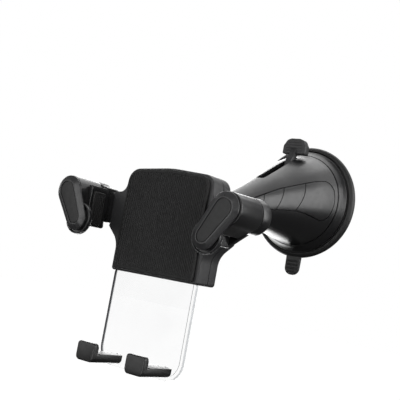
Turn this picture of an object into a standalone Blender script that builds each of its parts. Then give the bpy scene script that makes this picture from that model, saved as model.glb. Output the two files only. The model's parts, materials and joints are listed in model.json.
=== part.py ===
"""Car phone mount: a suction base with a cam lever, a ball joint and a gravity-clamping holder head.

Frame: the origin is the centre of the suction face, +Y points into the windscreen, +Z is up and +X is
the viewer's right. Lengths in this file are millimetres; mesh_object turns them into metres.
Depths of the holder head are measured from the phone's glass, and its heights from the phone's middle.
"""

import math

import bmesh
import bpy
from mathutils import Matrix, Vector

MM = 0.001
GAP = 0.3                      # clearance left between neighbouring pieces

# Where the phone sits, seen from the suction face
GLASS_Y = -147.5               # the phone's front glass
PHONE_Z = -19.8                # the phone's middle
PHONE_HALF_WIDTH = 38.8

# Suction base, from the suction face
CUP_RADIUS = 35.2
RING_FRONT = -12.1
RING_RADIUS = 32.0
SEAM_RADIUS = 28.3
WEB_FRONT = -14.6
WALL = 2.4
HORN_STATIONS = (              # distance, height of the centre, radius
    (-89.5, -17.8, 7.6),
    (-81.5, -15.8, 8.2),
    (-67.5, -11.8, 11.2),
    (-47.5, -6.5, 17.4),
    (-27.5, -2.0, 24.4),
    (-12.4, 0.0, 28.3),
)
SLOT_FRONT, SLOT_REAR, SLOT_HALF_WIDTH = -58.0, -22.8, 2.7

# Lever and stud
PIVOT = (-25.5, 0.0)           # distance and height of the lever's pin
CAM_HIGH, CAM_LIFT, LEVER_SWING = 8.0, 2.5, 60.0
PIN_RADIUS = 1.5
ROD_RADIUS = 3.0

# Ball joint
BALL = Vector((0.0, -107.5, -23.3))
BALL_RADIUS = 8.5
NECK_RADIUS = 3.4
NECK_TILT = 17.0               # degrees the neck rises towards the base
SOCKET_INNER, SOCKET_OUTER = 10.9, 12.3
LINER_WALL = 0.7
NUT_INNER, NUT_OUTER = 12.6, 14.6

# Holder head: depths behind the phone's glass
PAD_FACE, PAD_BACK = 9.0, 10.4
BODY_FACE, BODY_INSIDE = 10.7, 12.0
PLATE_FRONT, PLATE_BACK = 12.4, 14.3
CARRIAGE_FRONT, CARRIAGE_BACK = 14.6, 16.4
TONGUE_FRONT, TONGUE_BACK = 16.9, 18.7
COVER_SPLIT = 19.0
REAR_INSIDE, REAR_FACE = 24.2, 26.0

# Holder head: widths and heights
BODY_HALF_WIDTH = 28.3
BODY_BOTTOM = -42.1
MOUTH_X = 35.8
PLATE_HALF_WIDTH, PLATE_BOTTOM = 26.9, -90.6
FOOT_UP, FOOT_DOWN = 9.0, 4.5  # travel of the foot, and of each arm
PIN_X, PIN_Z = 10.0, -10.85    # the slide pin in the carriage slot
SLIDE_PIN_RADIUS = 1.4
SPRING_X, SPRING_DEPTH = 12.0, 21.2
SPRING_LOW, SPRING_HIGH = -40.2, -29.3
SCREW_SPOTS = ((-19.5, 5.2), (19.5, 5.2), (-24.0, -28.8), (24.0, -28.8))

# Arms: right-hand side, mirrored for the left
DRUM_X, DRUM_Z = 50.8, -5.85
DRUM_FRONT, DRUM_BACK = -7.3, 10.3
DRUM_RADIUS = 8.1
PADDLE_X, PADDLE_Z = 45.8, -12.6
PADDLE_HALF_LENGTH, PADDLE_TILT = 8.1, 32.5
PADDLE_TAPER = 1.3             # how much smaller its lower end's radius is
BOOT_RADIUS, BOOT_BACK = 8.2, -4.6
WALL_X = 40.6
HOOK_IN, HOOK_OUT = 10.2, 22.0
HOOK_MIDDLE, SCREW_Z = 16.1, -85.6
PEG_X, PEG_Z = 9.0, -29.0      # pegs that fix the clear plate to the carriage


# ---- scene and looks ---------------------------------------------------------------------------

def clear_scene():
    for obj in list(bpy.data.objects):
        bpy.data.objects.remove(obj)


def look(name, colour, roughness, metallic=0.0, alpha=1.0):
    made = bpy.data.materials.new(name)
    made.use_nodes = True
    shader = made.node_tree.nodes["Principled BSDF"]
    shader.inputs["Base Color"].default_value = (*colour, 1.0)
    shader.inputs["Roughness"].default_value = roughness
    shader.inputs["Metallic"].default_value = metallic
    shader.inputs["Alpha"].default_value = alpha
    return made


def joint_empty(name, at, parent=None):
    """An empty on a joint's axis, which its moving pieces are parented to."""
    empty = bpy.data.objects.new(name, None)
    bpy.context.scene.collection.objects.link(empty)
    empty.location = Vector(at) * MM
    if parent:
        empty.location -= world_spot(parent)
        empty.parent = parent
    return empty


def world_spot(empty):
    spot = Vector(empty.location)
    while empty.parent:
        empty = empty.parent
        spot += empty.location
    return spot


def mesh_object(name, mesh_builder, material=None):
    """An object in millimetres of the world frame, until settle() gives it its parent."""
    mesh = bpy.data.meshes.new(name)
    bmesh.ops.recalc_face_normals(mesh_builder, faces=mesh_builder.faces)
    mesh_builder.to_mesh(mesh)
    mesh_builder.free()
    mesh.transform(Matrix.Scale(MM, 4))
    obj = bpy.data.objects.new(name, mesh)
    bpy.context.scene.collection.objects.link(obj)
    if material:
        mesh.materials.append(material)
    return obj


def settle(obj, name, material, parent, smooth=True):
    """Names the finished piece, gives it its material and hangs it on the empty of its joint."""
    obj.name = name
    obj.data.name = name
    obj.data.materials.clear()
    obj.data.materials.append(material)
    if smooth:
        obj.data.shade_smooth()
        obj.data.set_sharp_from_angle(angle=math.radians(35))
    obj.data.transform(Matrix.Translation(-world_spot(parent)))
    obj.parent = parent
    return obj


# ---- shape helpers -----------------------------------------------------------------------------

def rounded(corners, steps=5):
    """A closed outline from (across, up, radius) corners, each round one drawn as an arc."""
    points = []
    for index, (x, z, radius) in enumerate(corners):
        here = Vector((x, z))
        if radius == 0:
            points.append(here)
            continue
        before = (Vector(corners[index - 1][:2]) - here).normalized()
        after = (Vector(corners[(index + 1) % len(corners)][:2]) - here).normalized()
        half = before.angle(after) / 2
        centre = here + (before + after).normalized() * radius / math.sin(half)
        start = here + before * radius / math.tan(half) - centre
        end = here + after * radius / math.tan(half) - centre
        sweep = start.angle_signed(end)
        for step in range(steps + 1):
            turn = Matrix.Rotation(-sweep * step / steps, 2)
            points.append(centre + turn @ start)
    return [tuple(point) for point in points]


def tapered_slot(centre_x, centre_z, half_length, upper, lower, tilt, steps=9):
    """Outline of two round ends joined by straights, its long axis tilted from +Z towards +X."""
    lean = math.radians(tilt)
    flare = math.asin((upper - lower) / (2 * half_length))
    ends = ((half_length, upper, -flare, math.pi + 2 * flare),
            (-half_length, lower, math.pi + flare, math.pi - 2 * flare))
    points = []
    for end, radius, start, sweep in ends:
        for step in range(steps + 1):
            angle = start + sweep * step / steps
            across, along = radius * math.cos(angle), radius * math.sin(angle) + end
            points.append((centre_x + across * math.cos(lean) + along * math.sin(lean),
                           centre_z - across * math.sin(lean) + along * math.cos(lean)))
    return points


def hull(circles, steps=40):
    """Convex outline round some (x, z, radius) circles."""
    points = [Vector((x + r * math.cos(math.tau * s / steps), z + r * math.sin(math.tau * s / steps)))
              for x, z, r in circles for s in range(steps)]
    start = min(points, key=lambda p: (p.x, p.y))
    outline, here = [], start
    while True:
        outline.append((here.x, here.y))
        best = points[0]
        for point in points:
            turn = (best - here).cross(point - here) if (best - here).length else 1.0
            if turn > 1e-9:
                best = point
        here = best
        if (here - start).length < 1e-6:
            return outline


def to_world(across, up, depth, axis):
    if axis == "Y":
        return (across, depth, up)
    if axis == "X":
        return (depth, across, up)
    return (across, up, depth)


def prism(outline, low, high, axis="Y"):
    """A closed prism: the outline lies across the axis, between two places along it."""
    return loft([[to_world(a, b, place, axis) for a, b in outline] for place in (low, high)])


def box(low, high):
    outline = [(low[0], low[2]), (high[0], low[2]), (high[0], high[2]), (low[0], high[2])]
    return prism(outline, low[1], high[1])


def loft(rings):
    """A closed skin through rings of equal point counts, with a flat cap on each end."""
    build = bmesh.new()
    levels = [[build.verts.new(point) for point in ring] for ring in rings]
    count = len(levels[0])
    for lower, upper in zip(levels, levels[1:]):
        for i in range(count):
            j = (i + 1) % count
            build.faces.new((lower[i], lower[j], upper[j], upper[i]))
    build.faces.new(levels[0][::-1])
    build.faces.new(levels[-1])
    return mesh_object("loft", build)


def turned(profile, origin=(0, 0, 0), direction=(0, 1, 0), steps=40):
    """A solid turned from (radius, distance) points; a radius of zero closes it on the axis."""
    axis = Vector(direction).normalized()
    frame = axis.to_track_quat("Z", "Y")
    build = bmesh.new()
    rows = []
    for radius, distance in profile:
        if radius == 0:
            rows.append([build.verts.new(Vector(origin) + axis * distance)] * steps)
            continue
        row = []
        for step in range(steps):
            angle = math.tau * step / steps
            spoke = frame @ Vector((radius * math.cos(angle), radius * math.sin(angle), distance))
            row.append(build.verts.new(Vector(origin) + spoke))
        rows.append(row)
    on_axis = profile[0][0] == 0
    pairs = list(zip(rows, rows[1:])) if on_axis else list(zip(rows, rows[1:] + rows[:1]))
    for lower, upper in pairs:
        for i in range(steps):
            j = (i + 1) % steps
            corners = list(dict.fromkeys((lower[i], lower[j], upper[j], upper[i])))
            if len(corners) > 2:
                build.faces.new(corners)
    return mesh_object("turned", build)


def rod(start, end, radius, steps=20):
    """A plain round bar between two points."""
    start, end = Vector(start), Vector(end)
    length = (end - start).length
    return turned([(0, 0), (radius, 0), (radius, length), (0, length)], start, end - start, steps)


def coil(origin, direction, radius, wire, length, turns, steps=12, sides=6):
    """A round-wire spring with its first and last turns closed up."""
    axis = Vector(direction).normalized()
    frame = axis.to_track_quat("Z", "Y")
    total = int(turns * steps)
    rings = []
    for step in range(total + 1):
        share = step / total
        angle = math.tau * turns * share
        eased = wire + (length - 2 * wire) * (share - 0.09 * math.sin(math.tau * share) / 1.2)
        outward = Vector((math.cos(angle), math.sin(angle), 0))
        middle = outward * radius + Vector((0, 0, eased))
        ring = []
        for side in range(sides):
            turn = math.tau * side / sides
            offset = outward * math.cos(turn) + Vector((0, 0, 1)) * math.sin(turn)
            ring.append(Vector(origin) + frame @ (middle + offset * wire))
        rings.append(ring)
    return loft(rings)


def bake(obj):
    """Applies the object's modifiers to its mesh."""
    graph = bpy.context.evaluated_depsgraph_get()
    mesh = bpy.data.meshes.new_from_object(obj.evaluated_get(graph))
    obj.modifiers.clear()
    obj.data = mesh
    return obj


def combine(target, others, operation):
    for other in others:
        step = target.modifiers.new(operation.title(), "BOOLEAN")
        step.operation = operation
        step.object = other
        bake(target)
        bpy.data.objects.remove(other)
    return target


def join(target, *others):
    return combine(target, others, "UNION")


def cut(target, *others):
    return combine(target, others, "DIFFERENCE")


def common(target, *others):
    return combine(target, others, "INTERSECT")


def soften(obj, width, segments=2, angle=50):
    """Rounds every edge sharper than the angle."""
    step = obj.modifiers.new("Bevel", "BEVEL")
    step.width = width * MM
    step.segments = segments
    step.limit_method = "ANGLE"
    step.angle_limit = math.radians(angle)
    return bake(obj)


def mirrored(obj):
    """Turns a right-hand piece into its left-hand twin."""
    obj.data.transform(Matrix.Scale(-1, 4, (1, 0, 0)))
    obj.data.flip_normals()
    return obj


def sided(build_piece, side):
    piece = build_piece()
    return mirrored(piece) if side == "left" else piece


def depth(behind_glass):
    return GLASS_Y + behind_glass


def height(above_middle):
    return PHONE_Z + above_middle


def head_outline(corners, steps=5):
    """An outline whose heights count from the phone's middle."""
    return rounded([(x, height(z), r) for x, z, r in corners], steps)


def raised(outline):
    return [(x, height(z)) for x, z in outline]


# ---- suction base ------------------------------------------------------------------------------

def horn_at(distance):
    """Height of the horn's centre and its radius, smooth between the stations."""
    first = HORN_STATIONS[0]
    if distance < first[0]:
        return [first[k] + station_slopes(0)[k - 1] * (distance - first[0]) for k in (1, 2)]
    for (y0, z0, r0), (y1, z1, r1) in zip(HORN_STATIONS, HORN_STATIONS[1:]):
        if distance <= y1:
            break
    slopes = [station_slopes(i) for i in range(len(HORN_STATIONS))]
    index = [s[0] for s in HORN_STATIONS].index(y0)
    span = y1 - y0
    t = (distance - y0) / span
    basis = (2 * t**3 - 3 * t**2 + 1, (t**3 - 2 * t**2 + t) * span,
             3 * t**2 - 2 * t**3, (t**3 - t**2) * span)
    values = []
    for column, (low, high) in enumerate(((z0, z1), (r0, r1))):
        terms = (low, slopes[index][column], high, slopes[index + 1][column])
        values.append(sum(weight * term for weight, term in zip(basis, terms)))
    return values


def station_slopes(index):
    before = HORN_STATIONS[max(index - 1, 0)]
    after = HORN_STATIONS[min(index + 1, len(HORN_STATIONS) - 1)]
    return [(after[k] - before[k]) / (after[0] - before[0]) for k in (1, 2)]


def horn_skin(inset, first, last, rings, steps=28):
    """The horn's tapering body, its wall taken in by the inset."""
    sections = []
    for ring in range(rings + 1):
        distance = first + (last - first) * ring / rings
        middle, radius = horn_at(min(distance, HORN_STATIONS[-1][0]))
        turns = (math.tau * step / steps for step in range(steps))
        sections.append([((radius - inset) * math.cos(a), distance,
                          middle + (radius - inset) * math.sin(a)) for a in turns])
    return loft(sections)


def leaf_outline(inset=0.0):
    """Side view of the leaf-shaped panel: distance and height, with a blunt tip at the front."""
    corners = ((-75.6, -15.9, 2.4, 1, 1), (-75.6, -10.4, 2.4, 1, -1), (-54.0, 0.3, 60, 0, -1),
               (-30.0, 9.7, 40, 0, -1), (-16.0, 13.0, 5.5, -1, -1), (-14.5, 0.0, 30, -1, 0),
               (-17.0, -13.0, 6.0, -1, 1), (-40.0, -9.9, 60, 0, 1))
    return rounded([(y + inset * in_y, z + inset * in_z, radius)
                    for y, z, radius, in_y, in_z in corners], 3)


def side_panel(side):
    def build():
        skin = horn_skin(0.0, -84.0, -13.0, 6)
        core = horn_skin(1.2, -85.0, -12.6, 6)
        return common(cut(skin, core), prism(leaf_outline(GAP), 2.0, 40.0, "X"))
    return sided(build, side)


def panel_pocket(side):
    def build():
        skin = horn_skin(-1.0, -84.5, -12.8, 6)
        core = horn_skin(1.2 + GAP, -86.0, -12.5, 6)
        return common(cut(skin, core), prism(leaf_outline(), 1.0, 40.0, "X"))
    return sided(build, side)


def ring_screw_spot(index):
    angle = math.radians(-90 + 120 * index)
    return 19.0 * math.cos(angle), 19.0 * math.sin(angle)


def horn_shell():
    first, last = HORN_STATIONS[0][0], HORN_STATIONS[-1][0]
    tip = Vector((0, *HORN_STATIONS[0][:2]))
    along = neck_direction()
    shell = horn_skin(0.0, first - 4.0, last, 8)
    cut(shell, rod(tip - along * 14, tip, 14, 12), horn_skin(WALL, first + 6.0, last + 2.0, 5))
    for index in range(3):
        x, z = ring_screw_spot(index)
        post = rod((x, -52.0, z), (x, WEB_FRONT - GAP, z), 3.2, 10)
        join(shell, common(post, horn_skin(1.0, -60.0, last, 3)))
        cut(shell, rod((x, -24.0, z), (x, WEB_FRONT + 2, z), 1.3 + GAP, 8))
    for side in ("left", "right"):
        cut(shell, panel_pocket(side))
    slot = prism(rounded([(-SLOT_HALF_WIDTH, SLOT_FRONT, 2.0), (-SLOT_HALF_WIDTH, SLOT_REAR, 2.0),
                          (SLOT_HALF_WIDTH, SLOT_REAR, 2.0), (SLOT_HALF_WIDTH, SLOT_FRONT, 2.0)], 3),
                 -2.0, 40.0, "Z")
    cut(shell, slot)
    return cut(shell, rod(tip - along * 4, tip + along * 12, 2.5 + GAP, 12))


def base_ring():
    """Outer ring and inner web, turned in one piece."""
    profile = [
        (ROD_RADIUS + 0.5, WEB_FRONT), (23.9, WEB_FRONT), (23.9, RING_FRONT),
        (SEAM_RADIUS, RING_FRONT), (31.0, RING_FRONT + 2.8), (RING_RADIUS, RING_FRONT + 5.2),
        (29.4, RING_FRONT + 5.2), (28.6, RING_FRONT + 3.1), (24.0, RING_FRONT + 2.5),
        (22.0, WEB_FRONT + 2.2), (ROD_RADIUS + 0.5, WEB_FRONT + 2.2),
    ]
    ring = turned(profile, steps=32)
    for index in range(3):
        x, z = ring_screw_spot(index)
        cut(ring, rod((x, WEB_FRONT - 1, z), (x, WEB_FRONT + 4, z), 1.3 + GAP, 8))
    return ring


def ring_screw(index):
    x, z = ring_screw_spot(index)
    head = WEB_FRONT + 2.2 + GAP
    profile = [(0, -10.5), (1.3, -10.5), (1.3, 0), (2.6, 0), (2.3, 1.6), (0, 1.6)]
    return turned(profile, (x, head, z), (0, 1, 0), 10)


def suction_cup():
    """Rubber disc with a raised rim, a hollow for the stud's plate and a tab to peel it by."""
    cup = turned([
        (0, -3.4), (19.5, -3.4), (19.5, -7.9), (28.0, -7.9), (28.3, -6.3), (32.6, -6.3),
        (34.4, -5.5), (CUP_RADIUS, -3.9), (34.6, -1.6), (0, -1.6),
    ], steps=32)
    tab = prism(rounded([(-5.2, -31.0, 0), (5.2, -31.0, 0), (4.9, -46.2, 4.5), (-4.9, -46.2, 4.5)], 5),
                -5.2, -3.0)
    return join(cup, soften(tab, 0.5, 1))


def gel_pad():
    return turned([(0, -1.3), (33.0, -1.3), (33.0, -0.5), (32.4, 0.0), (0, 0.0)], steps=32)


def cam_washer():
    front = PIVOT[0] + CAM_HIGH + GAP
    back = WEB_FRONT - GAP
    inner, outer = ROD_RADIUS + 0.5, 10.0
    return turned([(inner, front), (outer, front), (outer, back), (inner, back)], steps=28)


def cup_stud():
    """A disc in the cup's hollow, and a rod that ends in an eye for the lever's pin."""
    plate = turned([(0, -9.6), (17.5, -9.6), (18.6, -9.0), (18.6, -6.3), (0, -6.3)], steps=24)
    stem = rod((0, PIVOT[0] + CAM_HIGH + 1.2, 0), (0, -9.0, 0), ROD_RADIUS, 20)
    eye = rod((-1.7, *PIVOT), (1.7, *PIVOT), 4.4, 24)
    blade = box((-1.7, PIVOT[0], -2.4), (1.7, PIVOT[0] + CAM_HIGH + 2.5, 2.4))
    stud = join(plate, stem, join(eye, blade))
    return cut(stud, rod((-4, *PIVOT), (4, *PIVOT), PIN_RADIUS + GAP, 16))


def cup_spring():
    return coil((0, WEB_FRONT + 2.4, 0), (0, 1, 0), 6.5, 0.5, 2.4, 2.0, 12, 4)


def lever_pin():
    profile = [(0, -6.4), (1.2, -6.4), (PIN_RADIUS, -6.0), (PIN_RADIUS, 6.0), (1.2, 6.4), (0, 6.4)]
    return turned(profile, (0, *PIVOT), (1, 0, 0), 12)


def cam_outline(steps=8):
    """Side view of the cams: the face towards the washer recedes evenly over the lever's swing."""
    swing = math.radians(LEVER_SWING)
    slope = CAM_LIFT / swing
    face = []
    for step in range(steps + 1):
        angle = swing * step / steps
        reach = CAM_HIGH - slope * angle
        face.append((reach * math.cos(angle) + slope * math.sin(angle),
                     slope * math.cos(angle) - reach * math.sin(angle)))
    low = math.degrees(math.atan2(face[-1][1], face[-1][0]))
    under = [(5.4 * math.cos(math.radians(a)), 5.4 * math.sin(math.radians(a)))
             for a in range(int(low) - 12, -181, -15)]
    block = [(-5.4, 13.2), (0.6, 13.2), (3.2, 7.5), (CAM_HIGH, 5.0)]
    return [(PIVOT[0] + y, PIVOT[1] + z) for y, z in face + under + block]


def lever():
    """Twin cams round the pin, a curved stem through the slot and a broad thumb head."""
    y, z = PIVOT
    cams = prism(cam_outline(), -5.6, 5.6, "X")
    cut(cams, box((-2.0, y - 12, z - 12), (2.0, y + 12, z + 7.4)))
    stem = prism(rounded([
        (y - 4.6, z + 9.0, 0), (y + 0.0, z + 9.0, 0), (y - 1.4, z + 20.0, 14), (y + 2.6, z + 27.5, 0),
        (y + 3.6, z + 32.0, 0), (y - 0.2, z + 31.0, 0), (y - 1.8, z + 27.0, 0), (y - 6.4, z + 19.6, 12),
    ], 4), -2.1, 2.1, "X")
    thumb = prism(rounded([(-8.0, 26.4, 1.2), (8.0, 26.4, 1.2), (8.0, 32.0, 5.5), (4.0, 36.0, 4.0),
                           (-4.0, 36.0, 4.0), (-8.0, 32.0, 5.5)], 4), y - 0.6, y + 4.6)
    soften(thumb, 0.8, 1)
    made = join(cams, stem, thumb)
    return cut(made, rod((-9, y, z), (9, y, z), PIN_RADIUS + GAP, 16))


def neck_direction():
    lean = math.radians(NECK_TILT)
    return Vector((0, math.cos(lean), math.sin(lean)))


def ball_stud():
    length = (Vector((0, HORN_STATIONS[0][0], HORN_STATIONS[0][1])) - BALL).length
    start = math.asin(NECK_RADIUS / BALL_RADIUS)
    arc = [(BALL_RADIUS * math.sin(a), -BALL_RADIUS * math.cos(a))
           for a in (math.pi * k / 11 for k in range(1, 11)) if a < math.pi - start - 0.1]
    face = length - GAP
    profile = [(0, -BALL_RADIUS), *arc, (NECK_RADIUS, BALL_RADIUS * math.cos(start)),
               (NECK_RADIUS, face - 3.0), (6.6, face - 1.8), (6.6, face), (2.5, face),
               (2.5, face + 13.5), (0, face + 13.5)]
    return turned(profile, BALL, neck_direction(), 18)


def ball_nut():
    """Hexagon nut on the stud's shank, inside the horn."""
    spot = ball_stud_inner_end()
    nut = turned([(2.5 + GAP, -3.6), (4.6, -3.6), (4.6, 0), (2.5 + GAP, 0)], spot, neck_direction(), 6)
    return cut(nut, rod(spot - neck_direction() * 6, spot + neck_direction() * 6, 2.5 + GAP, 16))


def ball_stud_inner_end():
    length = (Vector((0, HORN_STATIONS[0][0], HORN_STATIONS[0][1])) - BALL).length
    return BALL + neck_direction() * (length + 12.1)


# ---- ball joint --------------------------------------------------------------------------------

def shell_zone(inner, outer, first, last, steps=5):
    """Profile of a spherical shell between two angles from the +Y pole."""
    angles = [math.radians(first + (last - first) * k / steps) for k in range(steps + 1)]
    outside = [(outer * math.sin(a), outer * math.cos(a)) for a in angles]
    inside = [(inner * math.sin(a), inner * math.cos(a)) for a in reversed(angles)]
    return outside + inside


def ball_liner():
    """Low-friction liner against the ball, inside the collet."""
    inner = BALL_RADIUS + GAP
    return turned(shell_zone(inner, inner + LINER_WALL, 66, 150), BALL, steps=20)


def ball_collet():
    """Collet between the liner and the socket, squeezed by the lock nut."""
    return turned(shell_zone(BALL_RADIUS + LINER_WALL + 2 * GAP, SOCKET_INNER - GAP, 67, 152), BALL,
                  steps=20)


def lock_nut():
    """Ring nut with finger ribs and a lip over the socket's rim."""
    nut = turned([
        (NUT_INNER, -4.5), (NUT_OUTER, -4.5), (NUT_OUTER, 6.2),
        (NUT_OUTER - 1.6, 7.6), (10.9, 7.6), (10.4, 5.5), (NUT_INNER, 5.5),
    ], BALL, steps=36)
    for index in range(12):
        angle = math.tau * (index + 0.17) / 12
        across = Vector((math.cos(angle), 0, math.sin(angle))) * (NUT_OUTER + 0.7)
        start = BALL + across + Vector((0, -6.0, 0))
        cut(nut, rod(start, start + Vector((0, 15.0, 0)), 1.5, 6))
    return nut


# ---- holder head -------------------------------------------------------------------------------

def body_corners(inset=0.0, mouth=MOUTH_X):
    """Right half of the body's outline, from the top of the hump down to the bottom edge."""
    i = inset
    return [
        (0.0, 13.4 - i, 60), (27.6 - i, 11.4 - i, 7.0 - i * 0.5), (28.6 - i, -1.3 - i, 4.5),
        (mouth, -1.3 - i, 0), (mouth, -20.2 + i, 0), (BODY_HALF_WIDTH - i, -27.2 + i * 0.4, 10),
        (BODY_HALF_WIDTH - i, BODY_BOTTOM + i, 1.5),
    ]


def both_sides(right_half):
    """Adds the mirrored corners, leaving out those on the middle line."""
    left = [(-x, z, r) for x, z, r in reversed(right_half) if x]
    return right_half + left


def body_slab(inset, front, back, mouth=MOUTH_X):
    return prism(head_outline(both_sides(body_corners(inset, mouth)), 3), depth(front), depth(back))


def beam_window(front, back):
    """Opening of a side mouth, through which the arm's beam slides."""
    return box((24.0, depth(front), height(-18.8)), (MOUTH_X + 3, depth(back), height(-1.9)))


def front_cover():
    cover = soften(body_slab(0.0, BODY_FACE, COVER_SPLIT + 4), 0.9, 1, 60)
    trim = box((-60, depth(COVER_SPLIT - 0.1), height(-60)), (60, depth(COVER_SPLIT + 6), height(30)))
    cut(cover, trim)
    hollow = body_slab(1.1, BODY_INSIDE, COVER_SPLIT + 1, BODY_HALF_WIDTH + 0.5)
    cut(cover, hollow)
    for side in ("left", "right"):
        cut(cover, sided(lambda: beam_window(BODY_INSIDE, COVER_SPLIT + 1), side))
    plate_way = box((-PLATE_HALF_WIDTH - GAP, depth(BODY_INSIDE + 0.05), height(BODY_BOTTOM - 3)),
                    (PLATE_HALF_WIDTH + GAP, depth(PLATE_BACK + GAP), height(BODY_BOTTOM + 4)))
    cut(cover, plate_way)
    for x, z in SCREW_SPOTS:
        boss = rod((x, depth(BODY_INSIDE - 0.6), height(z)), (x, depth(COVER_SPLIT - 0.1), height(z)),
                   2.3, 10)
        bore = rod((x, depth(BODY_INSIDE + 0.8), height(z)), (x, depth(COVER_SPLIT + 2), height(z)),
                   1.1 + GAP, 8)
        cut(join(cover, boss), bore)
    return cover


def front_pad():
    corners = [(0.0, 12.3, 60), (26.1, 10.6, 6.0), (26.1, -40.9, 1.2)]
    outline = head_outline(both_sides(corners), 4)
    return soften(prism(outline, depth(PAD_FACE), depth(PAD_BACK)), 0.3, 1, 60)


def rear_cover():
    """Back shell with screw bosses, guide ribs and the ball's socket."""
    cover = soften(body_slab(0.0, COVER_SPLIT - 6, REAR_FACE), 2.2, 2, 60)
    trim = box((-60, depth(COVER_SPLIT - 8), height(-60)), (60, depth(COVER_SPLIT + GAP), height(30)))
    cut(cover, trim)
    cut(cover, body_slab(1.8, COVER_SPLIT - 2, REAR_INSIDE, BODY_HALF_WIDTH + 2))
    for x, z in SCREW_SPOTS:
        boss = rod((x, depth(COVER_SPLIT + GAP), height(z)), (x, depth(REAR_INSIDE + 0.6), height(z)),
                   2.3, 10)
        bore = rod((x, depth(COVER_SPLIT - 1), height(z)), (x, depth(REAR_FACE + 1), height(z)),
                   1.1 + GAP, 8)
        sink = rod((x, depth(REAR_FACE - 1.6), height(z)), (x, depth(REAR_FACE + 1), height(z)),
                   2.2 + GAP, 10)
        cut(join(cover, boss), bore, sink)
    for x in (-SPRING_X, SPRING_X):
        peg = rod((x, depth(SPRING_DEPTH), height(BODY_BOTTOM + 1.2)),
                  (x, depth(SPRING_DEPTH), height(-35.5)), 1.2, 10)
        join(cover, peg)
    start = depth(REAR_FACE - 0.8) - BALL.y
    join(cover, turned([(0, start), (SOCKET_OUTER, start), (SOCKET_OUTER, 5.0), (0, 5.0)], BALL, steps=28))
    sphere = [(SOCKET_INNER * math.sin(a), -SOCKET_INNER * math.cos(a))
              for a in (math.radians(18.0 * k) for k in range(1, 7))]
    return cut(cover, turned([(0, -SOCKET_INNER), *sphere, (9.9, 4.6), (12.0, 6.2), (0, 6.2)], BALL,
                             steps=24))


def cover_screw(x, z):
    profile = [(0, -8.4), (1.1, -8.4), (1.1, 0), (2.2, 0), (2.2, 1.0), (1.9, 1.3), (0, 1.3)]
    return turned(profile, (x, depth(REAR_FACE - 1.6 + GAP), height(z)), (0, 1, 0), 10)


def foot_plate():
    """Clear plate: broad below the body, and narrow where it slides inside."""
    shoulder = BODY_BOTTOM + 0.6
    half = [(0.0, PLATE_BOTTOM, 90), (-PLATE_HALF_WIDTH, PLATE_BOTTOM + 0.6, 10),
            (-PLATE_HALF_WIDTH, shoulder, 1.5), (-20.6, shoulder, 1.0), (-20.6, -24.0, 2.0)]
    right = [(-x, z, r) for x, z, r in reversed(half) if x]
    plate = prism(head_outline(half + right, 4), depth(PLATE_FRONT), depth(PLATE_BACK))
    soften(plate, 0.25, 1, 60)
    for x, z, radius in ((HOOK_MIDDLE, SCREW_Z, 1.1), (-HOOK_MIDDLE, SCREW_Z, 1.1),
                         (PEG_X, PEG_Z, 1.4), (-PEG_X, PEG_Z, 1.4)):
        cut(plate, rod((x, depth(PLATE_FRONT - 1), height(z)), (x, depth(PLATE_BACK + 1), height(z)),
                       radius + GAP, 10))
    return plate


def carriage():
    """Slider behind the plate, whose diagonal slots drive the arms' pins."""
    corners = [(10.5, -2.6, 2.0), (21.3, -14.2, 2.0), (21.3, -20.6, 2.0), (17.0, -25.0, 2.0),
               (17.0, -32.5, 1.5)]
    outline = corners + [(-x, z, r) for x, z, r in reversed(corners)]
    slider = prism(head_outline(outline, 3), depth(CARRIAGE_FRONT), depth(CARRIAGE_BACK))
    run = (FOOT_UP + FOOT_DOWN) / 2
    middle = (FOOT_UP - FOOT_DOWN) / 2
    for side in (1, -1):
        reach = SLIDE_PIN_RADIUS + GAP
        slot = raised(tapered_slot(side * (PIN_X + middle), PIN_Z - middle, run * math.sqrt(2),
                                   reach, reach, -45 * side, 6))
        cut(slider, prism(slot, depth(CARRIAGE_FRONT - 1), depth(CARRIAGE_BACK + 1)))
        x = side * SPRING_X
        lug = box((x - 3.2, depth(CARRIAGE_BACK - 0.5), height(SPRING_HIGH + GAP)),
                  (x + 3.2, depth(23.6), height(SPRING_HIGH + 2.0)))
        peg = rod((side * PEG_X, depth(PLATE_FRONT + GAP), height(PEG_Z)),
                  (side * PEG_X, depth(CARRIAGE_FRONT + 0.8), height(PEG_Z)), 1.4, 12)
        join(slider, lug, peg)
        cut(slider, rod((x, depth(SPRING_DEPTH), height(SPRING_HIGH - 2)),
                        (x, depth(SPRING_DEPTH), height(SPRING_HIGH + 4)), 1.2 + 2 * GAP, 10))
    return slider


def return_spring(side):
    x = SPRING_X if side == "right" else -SPRING_X
    length = SPRING_HIGH - SPRING_LOW
    return coil((x, depth(SPRING_DEPTH), height(SPRING_LOW)), (0, 0, 1), 2.0, 0.35, length, 4.5, 8, 4)


def foot_hook():
    """L-shaped hook: a low bar under the phone and an upright lip, with a relief at the lip's foot."""
    front_view = raised(rounded([(HOOK_IN, -78.6, 1.6), (HOOK_OUT, -78.6, 1.6),
                                 (HOOK_OUT, -88.0, 2.3), (HOOK_IN, -88.0, 2.3)], 3))
    block = soften(prism(front_view, depth(-9.6), depth(PLATE_FRONT - GAP)), 0.7, 1, 60)
    phone_space = prism([(depth(y), height(z)) for y, z in (
        (-6.6, -76.0), (-6.6, -83.9), (-4.7, -83.9), (-4.7, -83.5), (16.0, -83.5), (16.0, -76.0))],
        HOOK_IN - 1, HOOK_OUT + 1, "X")
    return cut(block, phone_space, rod((HOOK_MIDDLE, depth(7.0), height(SCREW_Z)),
                                       (HOOK_MIDDLE, depth(PLATE_FRONT + 1), height(SCREW_Z)), 0.9 + GAP, 12))


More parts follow.
